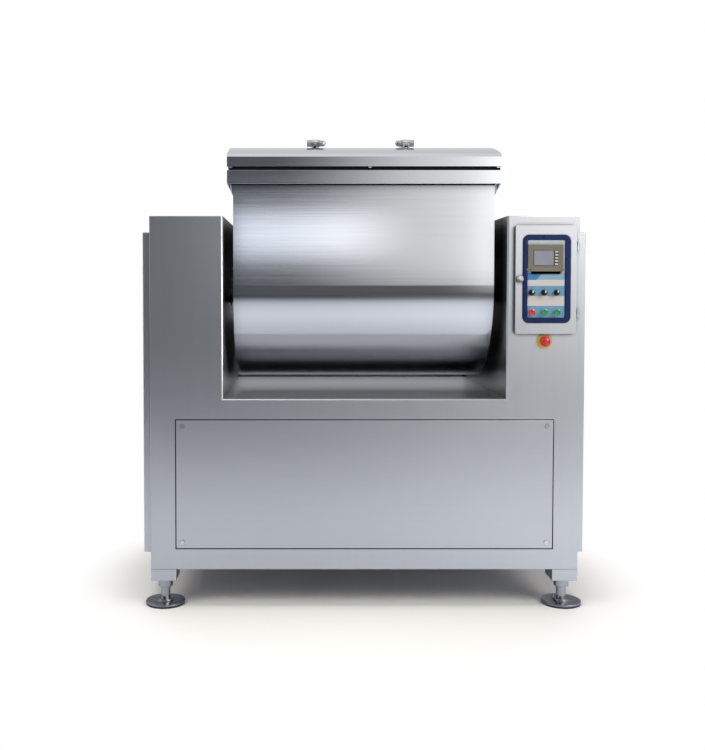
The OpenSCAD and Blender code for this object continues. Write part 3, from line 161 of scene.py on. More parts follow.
def noise(tree, waves, detail, roughness=0.5):
    """A cloudy pattern fixed to the object, of so many waves a metre along each axis."""
    place = add_node(tree, "ShaderNodeTexCoord")
    scaled = add_node(tree, "ShaderNodeMapping", {
        "Vector": place.outputs["Object"], "Scale": waves})
    return add_node(tree, "ShaderNodeTexNoise", {
        "Vector": scaled.outputs[0], "Scale": 1, "Detail": detail,
        "Roughness": roughness}).outputs["Fac"]


def spread(tree, value, begin, end, low=0, high=1, **settings):
    """Maps the range of a value from begin to end to the range from low to high."""
    return add_node(tree, "ShaderNodeMapRange", {
        "Value": value, "From Min": begin, "From Max": end, "To Min": low, "To Max": high},
        **settings).outputs[0]


def calculate(tree, operation, *values):
    """Calculates with numbers and with the outputs of other nodes."""
    return add_node(tree, "ShaderNodeMath", dict(enumerate(values)),
                    operation=operation).outputs[0]


def blend(tree, factor, first, second):
    """Blends two colours."""
    return add_node(tree, "ShaderNodeMix", {
        "Factor": factor, "A": first, "B": second}, data_type="RGBA").outputs[2]


def bump(tree, pattern, strength, millimetres):
    """Turns a pattern to a fine relief of so many millimetres."""
    return add_node(tree, "ShaderNodeBump", {
        "Height": pattern, "Strength": strength, "Distance": millimetres * MM}).outputs[0]


def glow(tree, rgba, strength=1):
    """A surface that shines by itself."""
    return add_node(tree, "ShaderNodeEmission", {"Color": rgba, "Strength": strength})


def either(tree, factor, first, second):
    """A shader as far from the first towards the second as the factor says."""
    return add_node(tree, "ShaderNodeMixShader", {
        0: factor, 1: first.outputs[0], 2: second.outputs[0]})


def empty_material(name):
    """A material with no nodes yet, and its tree."""
    material = bpy.data.materials.new(name)
    material.use_nodes = True
    material.node_tree.nodes.clear()
    return material, material.node_tree


def close_material(material, shader):
    """Gives a material its surface."""
    add_node(material.node_tree, "ShaderNodeOutputMaterial", {"Surface": shader.outputs[0]})
    return material


def brushed_steel(name, rgb, along, roughness=0.3, depth=0.25, reach=22):
    """Stainless steel sheet 1.4301, belt brushed along one axis: long fine scratches that draw
    reflections out across them, so that the eye sees soft streaked bands, never a sharp image."""
    material, tree = empty_material(name)
    # Real scratches lie 0.2 mm apart, too fine to show, so they are drawn about 3 mm apart
    fine = [320, 320, 320]
    fine[along] = 2.2
    broad = [60, 60, 60]
    broad[along] = 0.3
    scratch = noise(tree, fine, 3, 0.6)
    both = add_node(tree, "ShaderNodeMix", {
        "Factor": 0.35, "A": scratch, "B": noise(tree, broad, 4, 0.55)}).outputs[0]
    tint = blend(tree, both, shaded(rgb, 0.95), shaded(rgb, 1.04))
    # Painted shade: the colour darkens towards near black in corners, seams and gaps and under
    # overhangs, as far as reach millimetres out, where shade falls. In the narrow space round the
    # trough it is a painted reflection of the dark that the sheets there reflect
    seam = add_node(tree, "ShaderNodeAmbientOcclusion", {"Distance": reach * MM}, samples=6)
    grime = spread(tree, seam.outputs["AO"], 0.35, 0.85, 0.1, 1)
    return close_material(material, add_node(tree, "ShaderNodeBsdfPrincipled", {
        "Base Color": blend(tree, grime, solid([0.01, 0.011, 0.013]), tint), "Metallic": 1,
        "Roughness": spread(tree, both, 0.3, 0.7, roughness - 0.02, roughness + 0.03),
        "Normal": bump(tree, scratch, depth, 0.4)}))


def satin_metal(name, rgb, roughness, grain):
    """Turned, plated or cast metal: even but for a fine cloudiness of grain millimetres, which
    breaks up the highlight so that it doesn't look like a mirror."""
    material, tree = empty_material(name)
    cloud = noise(tree, [1 / (grain * MM)] * 3, 4)
    return close_material(material, add_node(tree, "ShaderNodeBsdfPrincipled", {
        "Base Color": solid(rgb), "Metallic": 1,
        "Roughness": spread(tree, cloud, 0.3, 0.7, roughness - 0.06, roughness + 0.08),
        "Normal": bump(tree, cloud, 0.12, 0.2)}))


def moulded(name, rgb, roughness, grain, depth, coat=0, shine=0.5):
    """Moulded plastic, rubber or sprayed enamel: a dielectric skin with a fine grain of so many
    millimetres, and with a clear coat where the real one is glossy."""
    material, tree = empty_material(name)
    skin = noise(tree, [1 / (grain * MM)] * 3, 3)
    wear = noise(tree, [18, 18, 18], 5)
    return close_material(material, add_node(tree, "ShaderNodeBsdfPrincipled", {
        "Base Color": blend(tree, wear, shaded(rgb, 0.88), shaded(rgb, 1.1)),
        "Roughness": spread(tree, wear, 0.3, 0.7, roughness - 0.06, roughness + 0.06),
        "IOR": 1.5, "Specular IOR Level": shine, "Coat Weight": coat, "Coat Roughness": 0.08,
        "Normal": bump(tree, skin, depth, 0.15)}))


def printed_film(name, colours):
    """Screen-printed polyester film: smooth and half matt, with crisp bands of blue and grey that
    part the rows of controls, and a slanted blue flash under the operator panel."""
    material, tree = empty_material(name)
    low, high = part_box("overlay_plate")
    place = object_axes(tree)
    across = spread(tree, place["X"], low.x, high.x)
    up = spread(tree, place["Z"], low.z, high.z)
    bands = add_node(tree, "ShaderNodeValToRGB", {"Fac": up})
    ramp = bands.color_ramp
    ramp.interpolation = "CONSTANT"
    # Lower edge of each printed band, as a share of the film's height
    flash_low, flash_high = 0.487, 0.58
    band_shares = [(0, colours.film_light), (0.15, colours.film), (0.279, colours.film_light),
                   (0.41, colours.film), (flash_low, colours.film_pale),
                   (flash_high, colours.film_top)]
    for k, (share, rgb) in enumerate(band_shares):
        stop = ramp.elements[k] if k < 2 else ramp.elements.new(share)
        stop.position = share
        stop.color = solid(rgb)
    # The flash ends on a slant: a little further right at its top than at its foot
    foot_share, lean = 0.23, 2.0
    slant = calculate(tree, "MULTIPLY_ADD", up, lean, foot_share - lean * flash_low)
    left = calculate(tree, "LESS_THAN", across, slant)
    in_band = calculate(tree, "COMPARE", up, (flash_low + flash_high) / 2,
                        (flash_high - flash_low) / 2)
    flash = calculate(tree, "MULTIPLY", left, in_band)
    return close_material(material, add_node(tree, "ShaderNodeBsdfPrincipled", {
        "Base Color": blend(tree, flash, bands.outputs["Color"], solid(colours.film_strong)),
        "Roughness": 0.38, "IOR": 1.5}))


FINISHES = {}  # filled by make_finishes
ACROSS, UPRIGHT = 0, 2  # the axis along which a sheet is brushed


def make_finishes(colours):
    """Makes each finish once, under the name by which the pieces ask for it. A metal has its
    roughness and its grain in millimetres. A plastic, rubber or enamel also has the depth of the
    grain and, where the defaults don't fit, its coat and shine."""
    steel = colours.steel
    trough = colours.trough_steel
    FINISHES.update({
        "skin": brushed_steel("brushed_sheet_upright", steel, UPRIGHT),
        "skin_level": brushed_steel("brushed_sheet_level", steel, ACROSS),
        # Ground finer than the sheets, so that its bands of light are clearer
        # Its painted shade reaches far, and darkens the trough's underside over the recess floor
        # and the band under the flange
        "trough": brushed_steel("brushed_trough_level", trough, ACROSS, 0.11, 0.08, reach=110),
        # Painted shade darkens the recess walls far out from the gap beside the trough, and its
        # floor hardly
        "recess": brushed_steel("brushed_recess_upright", steel, UPRIGHT, reach=160),
        "recess_level": brushed_steel("brushed_recess_level", steel, ACROSS, reach=4),
        # Hot-rolled and pickled square tube: matt and darker than the brushed sheet
        "frame": satin_metal("pickled_steel_tube", linear("#9a9ca0"), 0.48, 3),
        # Turned stainless bar: bolts, nuts, spindles and hinge parts, brighter than the sheet
        "turned": satin_metal("turned_stainless_bar", linear("#cfd1d4"), 0.2, 0.8),
        # Polished bar: bolts of the lid, door lock and foot spindles, dark and bright by turns
        "polished": satin_metal("polished_stainless_bar", linear("#a9acb0"), 0.11, 0.8),
        # Chrome on the foot discs, its colour painted darker than chrome's own: a painted
        # reflection of the machine's dark underside
        "dark_chrome": satin_metal("dark_chromed_disc", linear("#898c91"), 0.22, 2),
        # Leaded bronze of the shaft seals' gland rings: warm and satin
        "bronze": satin_metal("cast_bronze", linear("#b08a4e"), 0.34, 1.5),
        # Two-pack enamel on cast iron: thick and glossy, with a slight orange peel
        "blue_enamel": moulded("sprayed_enamel_drives", colours.machine_blue, 0.38, 2.2, 0.3, 0.5),
        "green_enamel": moulded("sprayed_enamel_pump", colours.machine_green, 0.38, 2.2, 0.3, 0.5),
        # Neoprene belt with a cloth back: dull black
        "belt": moulded("neoprene_belt", linear("#1b1c1e"), 0.72, 1.6, 0.4),
        # Black silicone profile: matt, with a faint bloom. Its black is painted deeper than the
        # rubber's own, a painted shade for the gaps where it lies
        "seal": moulded("silicone_seal", linear("#060607"), 0.75, 1.2, 0.2, shine=0.12),
        # Vulcanised rubber under the feet: near black and dull
        "foot_rubber": moulded("vulcanised_rubber", linear("#141416"), 0.75, 1.8, 0.4),
        # Stove enamel on the bezel: deep blue with a low gloss
        "bezel": moulded("stove_enamel_bezel", colours.bezel, 0.3, 2.4, 0.06, shine=0.2),
        "film": printed_film("printed_polyester_film", colours),
        # Silicone keys of the operator panel: pale and half matt
        "key": moulded("silicone_keys", linear("#b9b5aa"), 0.55, 0.8, 0.1),
        # White pointers let into the knobs
        "pointer": moulded("moulded_abs_white", linear("#e4e4e0"), 0.4, 0.9, 0.05),
        "operator_frame": moulded("moulded_abs_frame", colours.panel_frame, 0.5, 0.7, 0.2),
        "screen": moulded("acrylic_screen", colours.screen, 0.14, 4, 0, 0.6),
        "black": moulded("moulded_nylon_black", linear("#0b0c0d"), 0.46, 0.7, 0.15),
        "grey": moulded("moulded_abs_grey", linear("#85888c"), 0.46, 0.7, 0.2),
        "red": moulded("moulded_polycarbonate_red", colours.stop, 0.28, 1.2, 0.06, 0.4),
        "green": moulded("moulded_polycarbonate_green", colours.start, 0.28, 1.2, 0.06, 0.4),
        "mushroom": moulded("moulded_abs_red", colours.estop_red, 0.34, 1.2, 0.08, 0.3),
        "yellow": moulded("moulded_abs_yellow", colours.estop_yellow, 0.4, 1.0, 0.1),
    })


NODE_FINISHES = {
    "skin": ["front_skin", "rear_skin", "side_skins", "left_side_cover", "right_side_cover",
             "control_door", "control_box", "rear_louvre_panel"],
    "recess": ["recess_walls"],
    "skin_level": ["front_service_panel", "column_tops", "bottom_plate"],
    "recess_level": ["recess_floor"],
    "trough": ["trough_shell", "trough_ends", "trough_flange", "lid_shell"],
    "frame": ["base_legs", "base_rails", "column_posts", "bearing_plates"],
    "turned": ["cover_screws", "foot_spindles", "lid_arms", "lid_bolts", "agitator",
               "reducer_pulley", "motor_pulley", "rotary_union", "door_hinges", "door_lock",
               "foot_nuts"],
    "dark_chrome": ["foot_discs"],
    "bronze": ["shaft_seals"],
    "blue_enamel": ["drive_motor", "agitator_reducer", "tilt_gearmotor"],
    "green_enamel": ["vacuum_pump"],
    "belt": ["drive_belt"],
    "seal": ["lid_seal", "vacuum_hose"],
    "foot_rubber": ["foot_pads"],
    "bezel": ["blue_bezel"],
    "film": ["overlay_plate"],
    "operator_frame": ["operator_panel"],
    "screen": ["operator_screen"],
    "black": ["selector_left", "selector_middle", "selector_right", "switch_bodies",
              "cable_gland", "estop_body"],
    "grey": ["operator_keys", "electrical_parts", "trunnion_bearings"],
    "red": ["stop_button"],
    "green": ["start_button", "jog_button"],
    "mushroom": ["estop_button"],
    "yellow": ["estop_plate"],
}


class MIXER_OT_finishes(bpy.types.Operator):
    """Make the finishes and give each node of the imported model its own"""
    bl_idname = "mixer.finishes"
    bl_label = "Finishes"

    def execute(self, context):
        make_finishes(context.scene.mixer_colours)
        for finish, names in NODE_FINISHES.items():
            for name in names:
                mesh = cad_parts[name].data
                mesh.materials.clear()
                mesh.materials.append(FINISHES[finish])
        return {"FINISHED"}


CAMERA_PLACE = (-0.249, -4.174, 1.258)
CAMERA_TILT = 2.05  # degrees below the horizon
CAMERA_LENS = 45.6  # mm, on a film 36 mm wide
CAMERA_SHIFT = (0.0687, -0.0707)  # of the film behind the lens, as shares of its longer side


def light(name, place, target, size, watts):
    """A soft rectangular lamp that faces its target."""
    data = bpy.data.lights.new(name, "AREA")
    data.shape = "RECTANGLE"
    data.size, data.size_y = size
    data.energy = watts
    lamp = bpy.data.objects.new(name, data)
    lamp.location = place
    lamp.rotation_euler = (Vector(target) - Vector(place)).to_track_quat("-Z", "Y").to_euler()
    bpy.context.scene.collection.objects.link(lamp)
    return lamp


def stage_sheet(name, turn, size, place, material):
    """A flat sheet of the stage: a level one, or an upright one that stands across the view."""
    bm = bmesh.new()
    bmesh.ops.create_grid(bm, x_segments=1, y_segments=1, size=0.5)
    bmesh.ops.scale(bm, vec=(size[0], size[1], 1), verts=bm.verts)
    bmesh.ops.rotate(bm, cent=(0, 0, 0), matrix=Matrix.Rotation(turn, 3, "X"), verts=bm.verts)
    bmesh.ops.translate(bm, vec=place, verts=bm.verts)
    mesh = bpy.data.meshes.new(name)
    bm.to_mesh(mesh)
    bm.free()
    mesh.materials.append(material)
    sheet = bpy.data.objects.new(name, mesh)
    bpy.context.scene.collection.objects.link(sheet)
    sheet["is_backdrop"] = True
    return sheet


def mirrored_wall(name, size, place, material):
    """An upright sheet of the stage that is seen in the steel alone."""
    wall = stage_sheet(name, math.radians(90), size, place, material)
    wall.visible_camera = False
    wall.visible_diffuse = False
    wall.visible_shadow = False
    wall.visible_transmission = False


def soft_patches(tree, ground, patches):
    """A ground brightness with soft-edged patches of light on it. Each patch has its brightness
    and its fades: an axis, and where on it in metres the light begins and where it is full."""
    axes = object_axes(tree)
    total = ground
    for patch, *fades in patches:
        for axis, begin, full in fades:
            fade = spread(tree, axes[axis], begin, full, interpolation_type="SMOOTHSTEP")
            patch = calculate(tree, "MULTIPLY", patch, fade)
        total = calculate(tree, "ADD", total, patch)
    return total


def photo_camera():
    """A camera where the photograph's is judged to have stood, tilted down a little."""
    lens = bpy.data.cameras.new("camera")
    lens.lens = CAMERA_LENS
    lens.shift_x, lens.shift_y = CAMERA_SHIFT
    camera = bpy.data.objects.new("camera", lens)
    camera.location = CAMERA_PLACE
    camera.rotation_euler = (math.radians(90 - CAMERA_TILT), 0, 0)
    bpy.context.scene.collection.objects.link(camera)
    return camera


def studio_world():
    """Light from all round: soft on matt surfaces, and white to the camera and in the steel."""
    world = bpy.data.worlds.new("studio")
    world.use_nodes = True
    tree = world.node_tree
    tree.nodes.clear()
    path = add_node(tree, "ShaderNodeLightPath").outputs
    seen = calculate(tree, "MAXIMUM", path["Is Camera Ray"], path["Is Glossy Ray"])
    seen = calculate(tree, "MAXIMUM", seen, path["Is Transmission Ray"])
    soft = add_node(tree, "ShaderNodeBackground", {
        "Color": solid(linear("#e8ebf0")), "Strength": 0.26})
    white = add_node(tree, "ShaderNodeBackground", {"Color": WHITE, "Strength": 1})
    add_node(tree, "ShaderNodeOutputWorld", {
        "Surface": either(tree, seen, soft, white).outputs[0]})
    return world


def studio_floor():
    """Painted studio floor: matt and near white. Away from the machine the camera sees it as
    plain white, and the steel sees it fade towards the walls."""
    floor, tree = empty_material("painted_studio_floor")
    path = add_node(tree, "ShaderNodeLightPath").outputs
    paint = add_node(tree, "ShaderNodeBsdfDiffuse", {"Color": solid([0.88, 0.845, 0.8])})
    place = add_node(tree, "ShaderNodeTexCoord")
    away = add_node(tree, "ShaderNodeVectorMath", {0: place.outputs["Object"]},
                    operation="LENGTH")
    far = spread(tree, away.outputs["Value"], 0.9, 1.25, interpolation_type="SMOOTHSTEP")
    faded = calculate(tree, "MULTIPLY", far, path["Is Camera Ray"])
    seen = either(tree, faded, paint, glow(tree, WHITE))
    level = soft_patches(tree, 0.14, [
        # Painted light, seen only in the steel: the floor is bright up to the machine, most of all
        # 2 to 3 m before it, and towards the right
        (0.6, ("Y", -5.6, -3.0)),
        (0.12, ("Y", -5.6, -3.0), ("Y", -0.9, -2.0)),
        (0.3, ("X", -0.3, 2.0)),
    ])
    # In the steel the floor is painted a cooler white than its own paint, as bright as the painted
    # light says
    cool = add_node(tree, "ShaderNodeBsdfDiffuse", {"Color": solid([0.84, 0.86, 0.92])})
    mirrored = either(tree, level, glow(tree, solid([0, 0, 0]), 0), cool)
    return close_material(floor, either(tree, path["Is Glossy Ray"], seen, mirrored))


def studio_wall():
    """Glowing sheet behind the camera, seen only in the steel: painted light for a grey studio
    wall, with a strip light and a large window to the right. It is painted cooler on the left, for
    daylight."""
    wall, tree = empty_material("glowing_studio_wall")
    level = soft_patches(tree, 0.125, [
        # Painted light: the strip light, the window, and the bright field to the right of them
        (1.5, ("X", -1.02, -0.9), ("X", 1.0, 0.0), ("Z", 1.5, 1.64), ("Z", 2.07, 1.93)),
        (0.95, ("X", -0.55, 1.3), ("X", 2.3, 1.75), ("Z", 1.1, 1.42), ("Z", 4.0, 3.2)),
        (1.25, ("X", 1.2, 2.1), ("Z", -0.2, 1.4)),
    ])
    # Painted daylight: the glow is cooler towards the left
    warmth = spread(tree, object_axes(tree)["X"], -1.5, 1.2, interpolation_type="SMOOTHSTEP")
    cast = blend(tree, warmth, solid([0.92, 0.98, 1.1]), solid([1.0, 0.99, 0.98]))
    return close_material(wall, glow(tree, cast, level))


class MIXER_OT_stage(bpy.types.Operator):
    """Set up the camera, the lamps, the pale floor and the studio walls that the steel mirrors"""
    bl_idname = "mixer.stage"
    bl_label = "Stage"

    def execute(self, context):
        scene = context.scene
        scene.view_settings.view_transform = "Standard"
        scene.camera = photo_camera()
        scene.world = studio_world()
        stage_sheet("floor", 0, (28, 28), (0, 0, 0), studio_floor())
        mirrored_wall("studio_wall", (16, 5), (0, -6, 2.5), studio_wall())

        # Glowing sheets behind the machine, seen only in the steel: a dark skirting and a dark
        # panel are painted shade that keeps the space round the trough dark in the reflections. The
        # pale rail between them is painted light. The recess floor mirrors the rail, and the lid
        # the backdrop
        dark = [0.012, 0.012, 0.014]
        for name, rgb, low, high in (("dark_skirting", dark, 0, 1.0),
                                     ("pale_rail", [0.78, 0.79, 0.83], 1.0, 1.3),
                                     ("dark_panel", dark, 1.3, 1.8),
                                     ("grey_backdrop", [0.7, 0.71, 0.74], 1.8, 9)):
            card, tree = empty_material(name)
            close_material(card, glow(tree, solid(rgb)))
            mirrored_wall(name, (20, high - low), (0, 4, (low + high) / 2), card)

        for name, place, target, size, watts, mirrored in (
                ("softbox_right", (3.4, -3.2, 3.2), (0, 0, 0.9), (2.4, 2.4), 105, True),
                ("softbox_left", (-3.2, -2.6, 3.4), (0, 0, 0.9), (2.0, 2.0), 85, False),
                ("softbox_top", (0, 0.3, 4.2), (0, 0, 0), (3.6, 3.0), 200, False)):
            light(name, place, target, size, watts).visible_glossy = mirrored
        return {"FINISHED"}


def merged_copy(node):
    """A copy of a node's mesh, its loose triangles merged to whole flat faces."""
    bm = bmesh.new()
    bm.from_mesh(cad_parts[node].data)
    bmesh.ops.remove_doubles(bm, verts=bm.verts, dist=MERGED)
    bmesh.ops.dissolve_limit(bm, angle_limit=math.radians(0.5), verts=bm.verts, edges=bm.edges)
    return bm


def round_edges(bm, edges, radius, steps=3):
    """Rounds the given edges."""
    bmesh.ops.bevel(bm, geom=list(edges), offset=radius, offset_type="OFFSET", segments=steps,
                    profile=0.5, affect="EDGES", clamp_overlap=True, material=-1)


def sharp_edges(bm, keep, least=60):
    """The edges that turn by more than least degrees and pass the test keep(start, end)."""
    return [edge for edge in bm.edges
            if edge.is_manifold and edge.calc_face_angle(0) > math.radians(least)
            and keep(edge.verts[0].co, edge.verts[1].co)]


def plate(bm, low, high, corner=0.0, edge=0.0, corner_steps=3, edge_steps=2):
    """A plate between two corners, seen from the front: its corners are rounded, then the edge of
    its front face."""
    low, high = Vector(low), Vector(high)
    old = set(bm.edges)
    cube = bmesh.ops.create_cube(bm, size=1)["verts"]
    bmesh.ops.scale(bm, vec=high - low, verts=cube)
    bmesh.ops.translate(bm, vec=(low + high) / 2, verts=cube)
    if corner:
        upright = [e for e in bm.edges if e not in old
                   and abs(e.verts[0].co.y - e.verts[1].co.y) > (high.y - low.y) / 2]
        round_edges(bm, upright, corner, corner_steps)
    if edge:
        rim = [e for e in bm.edges if e not in old and e.calc_face_angle(0) > 1
               and all(abs(v.co.y - low.y) < MERGED for v in e.verts)]
        round_edges(bm, rim, edge, edge_steps)
    return bm


def turned_body(bm, outline, centre, axis, steps=48):
    """Spins an outline of (radius, place along the axis) pairs to a closed body."""
    centre, axis = Vector(centre), Vector(axis).normalized()
    side = axis.orthogonal().normalized()
    old = set(bm.verts)
    row = [bm.verts.new(centre + side * radius + axis * reach) for radius, reach in outline]
    edges = [bm.edges.new(pair) for pair in zip(row, row[1:])]
    bmesh.ops.spin(bm, geom=row + edges, cent=centre, axis=axis, angle=math.tau, steps=steps,
                   use_merge=True)
    fresh = [v for v in bm.verts if v not in old]
    bmesh.ops.remove_doubles(bm, verts=fresh, dist=TINY)
    fresh = set(v for v in bm.verts if v not in old)
    bmesh.ops.recalc_face_normals(bm, faces=[f for f in bm.faces if f.verts[0] in fresh])
    return bm


def arc(centre, radius, begin, end, steps):
    """Points of an arc for an outline, from one angle to another in degrees."""
    turns = [math.radians(begin + (end - begin) * k / steps) for k in range(steps + 1)]
    return [(centre[0] + radius * math.cos(t), centre[1] + radius * math.sin(t)) for t in turns]


def rounded_rim(radius, top, edge, steps=4):
    """Points of an outline's rounded corner between a rim of this radius and a top face."""
    return arc((radius - edge, top - edge), edge, 0, 90, steps)


def front_centre(node, y):
    """The middle of a node as seen from the front, at the depth y."""
    low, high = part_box(node)
    return Vector(((low.x + high.x) / 2, y, (low.z + high.z) / 2))


def hand_over(name, bm, body, finish, node=None, smooth=35):
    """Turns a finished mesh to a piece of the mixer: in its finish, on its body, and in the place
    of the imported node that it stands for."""
    mesh = bpy.data.meshes.new(name)
    bm.to_mesh(mesh)
    bm.free()
    mesh.materials.append(FINISHES[finish])
    mesh.shade_smooth()
    mesh.set_sharp_from_angle(angle=math.radians(smooth))
    piece = bpy.data.objects.new(name, mesh)
    bpy.context.scene.collection.objects.link(piece)
    # Large flat faces keep one shade up to their rounded edges
    even = piece.modifiers.new("even_shading", "WEIGHTED_NORMAL")
    even.keep_sharp = True
    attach(piece, body)
    if node:
        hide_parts(node)


def dress(node, name, body, finish, radius, steps=3, least=60, keep=lambda start, end: True):
    """Hands over a copy of a node with those of its sharp edges rounded that pass the test."""
    bm = merged_copy(node)
    round_edges(bm, sharp_edges(bm, keep, least), radius, steps)
    hand_over(name, bm, body, finish, node)


def trim_front(bm, y):
    """Cuts a sheet back to a plane across the view and closes the cut."""
    cut = bmesh.ops.bisect_plane(bm, geom=bm.verts[:] + bm.edges[:] + bm.faces[:],
                                 dist=TINY, plane_co=(0, y, 0), plane_no=(0, -1, 0),
                                 clear_outer=True)
    rim = [item for item in cut["geom_cut"] if isinstance(item, bmesh.types.BMEdge)]
    bmesh.ops.holes_fill(bm, edges=rim, sides=0)


class MIXER_OT_body_skins(bpy.types.Operator):
    """Bend the front skin round the edges of the recess and set the recess sheets behind it"""
    bl_idname = "mixer.body_skins"
    bl_label = "Body skins"

    def execute(self, context):
        sizes = context.scene.mixer_sizes
        low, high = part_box("front_skin")
        front = low.y
        wall_x, _, floor_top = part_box("recess_floor")[1]
        bend = sizes.skin_bend

        bm = merged_copy("front_skin")
        for vert in bm.verts:
            # The flat part of the skin ends where the bend begins
            at_wall = abs(abs(vert.co.x) - wall_x) < NEAR and vert.co.z > floor_top - MM
            at_floor = abs(vert.co.z - floor_top) < NEAR and abs(vert.co.x) < wall_x + NEAR
            if at_wall:
                vert.co.x += math.copysign(bend, vert.co.x)
            if at_floor:
                vert.co.z -= bend
        outer = sharp_edges(bm, lambda a, b: max(a.y, b.y) < front + NEAR and (
            min(abs(a.x), abs(b.x)) > high.x - MM or min(a.z, b.z) > high.z - MM), least=30)
        round_edges(bm, outer, sizes.skin_edge)

        # The bend runs down one wall, along the floor and up the other wall
        first = [bm.verts.new((x, front, z)) for x, z in (
            (-wall_x - bend, high.z), (-wall_x - bend, floor_top - bend),
            (wall_x + bend, floor_top - bend), (wall_x + bend, high.z))]
        row = [bm.edges.new(pair) for pair in zip(first, first[1:])]
        strip = []
        strip_t = 2 * MM
        bend_steps = 6
        turns = [math.radians(90 * k / bend_steps) for k in range(1, bend_steps + 1)]
        for out, depth in [(bend - bend * math.sin(t), bend * (1 - math.cos(t)))
                           for t in turns] + [(0, sizes.skin_return)]:
            made = bmesh.ops.extrude_edge_only(bm, edges=row)["geom"]
            strip += [item for item in made if isinstance(item, bmesh.types.BMFace)]
            row = [item for item in made if isinstance(item, bmesh.types.BMEdge)
                   and len(item.link_faces) == 1 and all(v in made for v in item.verts)
                   and abs(item.verts[0].co.y - item.verts[1].co.y) < TINY]
            for vert in {v for e in row for v in e.verts}:
                vert.co.x = math.copysign(wall_x + out, vert.co.x)
                vert.co.y = front + depth
                if vert.co.z < high.z - MM:
                    vert.co.z = floor_top - out
        bmesh.ops.recalc_face_normals(bm, faces=strip)
        if strip[0].normal.y > 0:
            bmesh.ops.reverse_faces(bm, faces=strip)
        bmesh.ops.solidify(bm, geom=strip, thickness=strip_t)
        hand_over("front_skin_bent", bm, "body", "skin", "front_skin")

        for node, finish in (("recess_walls", "recess"), ("recess_floor", "recess_level")):
            bm = merged_copy(node)
            trim_front(bm, front + sizes.skin_return)
            hand_over(node + "_fitted", bm, "body", finish, node)
        return {"FINISHED"}


class MIXER_OT_covers(bpy.types.Operator):
    """Fold the edges of the side covers and of the front service panel"""
    bl_idname = "mixer.covers"
    bl_label = "Covers"

    def execute(self, context):
        sizes = context.scene.mixer_sizes
        for side in ("left", "right"):
            node = side + "_side_cover"
            low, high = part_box(node)
            far = low.x if side == "left" else high.x

            def outer_rim(a, b, far=far, low=low, high=high):
                at_face = min(abs(a.x - far), abs(b.x - far)) < NEAR
                at_rim = all(min(abs(v.y - low.y), abs(v.y - high.y), abs(v.z - low.z),
                                 abs(v.z - high.z)) < NEAR for v in (a, b))
                return at_face and at_rim and (a - b).length > LONG

            dress(node, side + "_cover_folded", "body", "skin", sizes.cover_bend, steps=4,
                  keep=outer_rim)

        # The four sides of the service panel's face, but not the rims of its screw holes
        low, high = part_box("front_service_panel")
        side_least = 100 * MM
        dress("front_service_panel", "front_service_panel_folded", "body", "skin_level",
              sizes.panel_edge, keep=lambda a, b: max(a.y, b.y) < low.y + NEAR
              and (a - b).length > side_least)
        # Painted shade: a black strip in the gap round it stands for the shade in that gap, and
        # shows as a dark line
        near, far = 0.2 * MM, 3.8 * MM
        front, rear = low.y + 0.8 * MM, low.y + 2.6 * MM
        bm = bmesh.new()
        for start, end in (((low.x - far, low.z - far), (low.x - near, high.z + far)),
                           ((high.x + near, low.z - far), (high.x + far, high.z + far)),
                           ((low.x - near, low.z - far), (high.x + near, low.z - near)),
                           ((low.x - near, high.z + near), (high.x + near, high.z + far))):
            plate(bm, (start[0], front, start[1]), (end[0], rear, end[1]),
                  edge=0.6 * MM, edge_steps=3)
        hand_over("service_panel_shade_strip", bm, "body", "seal")
        return {"FINISHED"}


class MIXER_OT_trough_and_lid(bpy.types.Operator):
    """Round the edges of the flange and the lid, and set the small guide tabs in the seal gap"""
    bl_idname = "mixer.trough_and_lid"
    bl_label = "Trough and lid"

    def execute(self, context):
        edge = context.scene.mixer_sizes.plate_edge
        dress("trough_flange", "trough_flange_dressed", "trough", "trough", edge, least=40,
              keep=lambda a, b: (a - b).length > LONG)

        # The edges that run the lid's whole length, and all those near its ends
        low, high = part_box("lid_shell")
        run, ends = 200 * MM, high.x - 5 * MM
        dress("lid_shell", "lid_shell_dressed", "lid", "trough", edge, least=12,
              keep=lambda a, b: (a - b).length > run or min(abs(a.x), abs(b.x)) > ends)

        # Three stainless tabs that keep the soft seal from being squeezed flat
        seal_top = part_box("lid_seal")[1].z
        tab = Vector((11, 5, 5)) * MM
        end_gap, front_gap, off_middle = 14 * MM, 7 * MM, 22 * MM
        for place, x in (("left", low.x + end_gap), ("middle", off_middle),
                         ("right", high.x - end_gap)):
            centre = Vector((x, low.y + front_gap, seal_top - tab.z / 2))
            bm = plate(bmesh.new(), centre - tab / 2, centre + tab / 2, corner=MM,
                       edge=0.6 * MM, corner_steps=2)
            hand_over("seal_tab_" + place, bm, "lid", "turned")
        return {"FINISHED"}


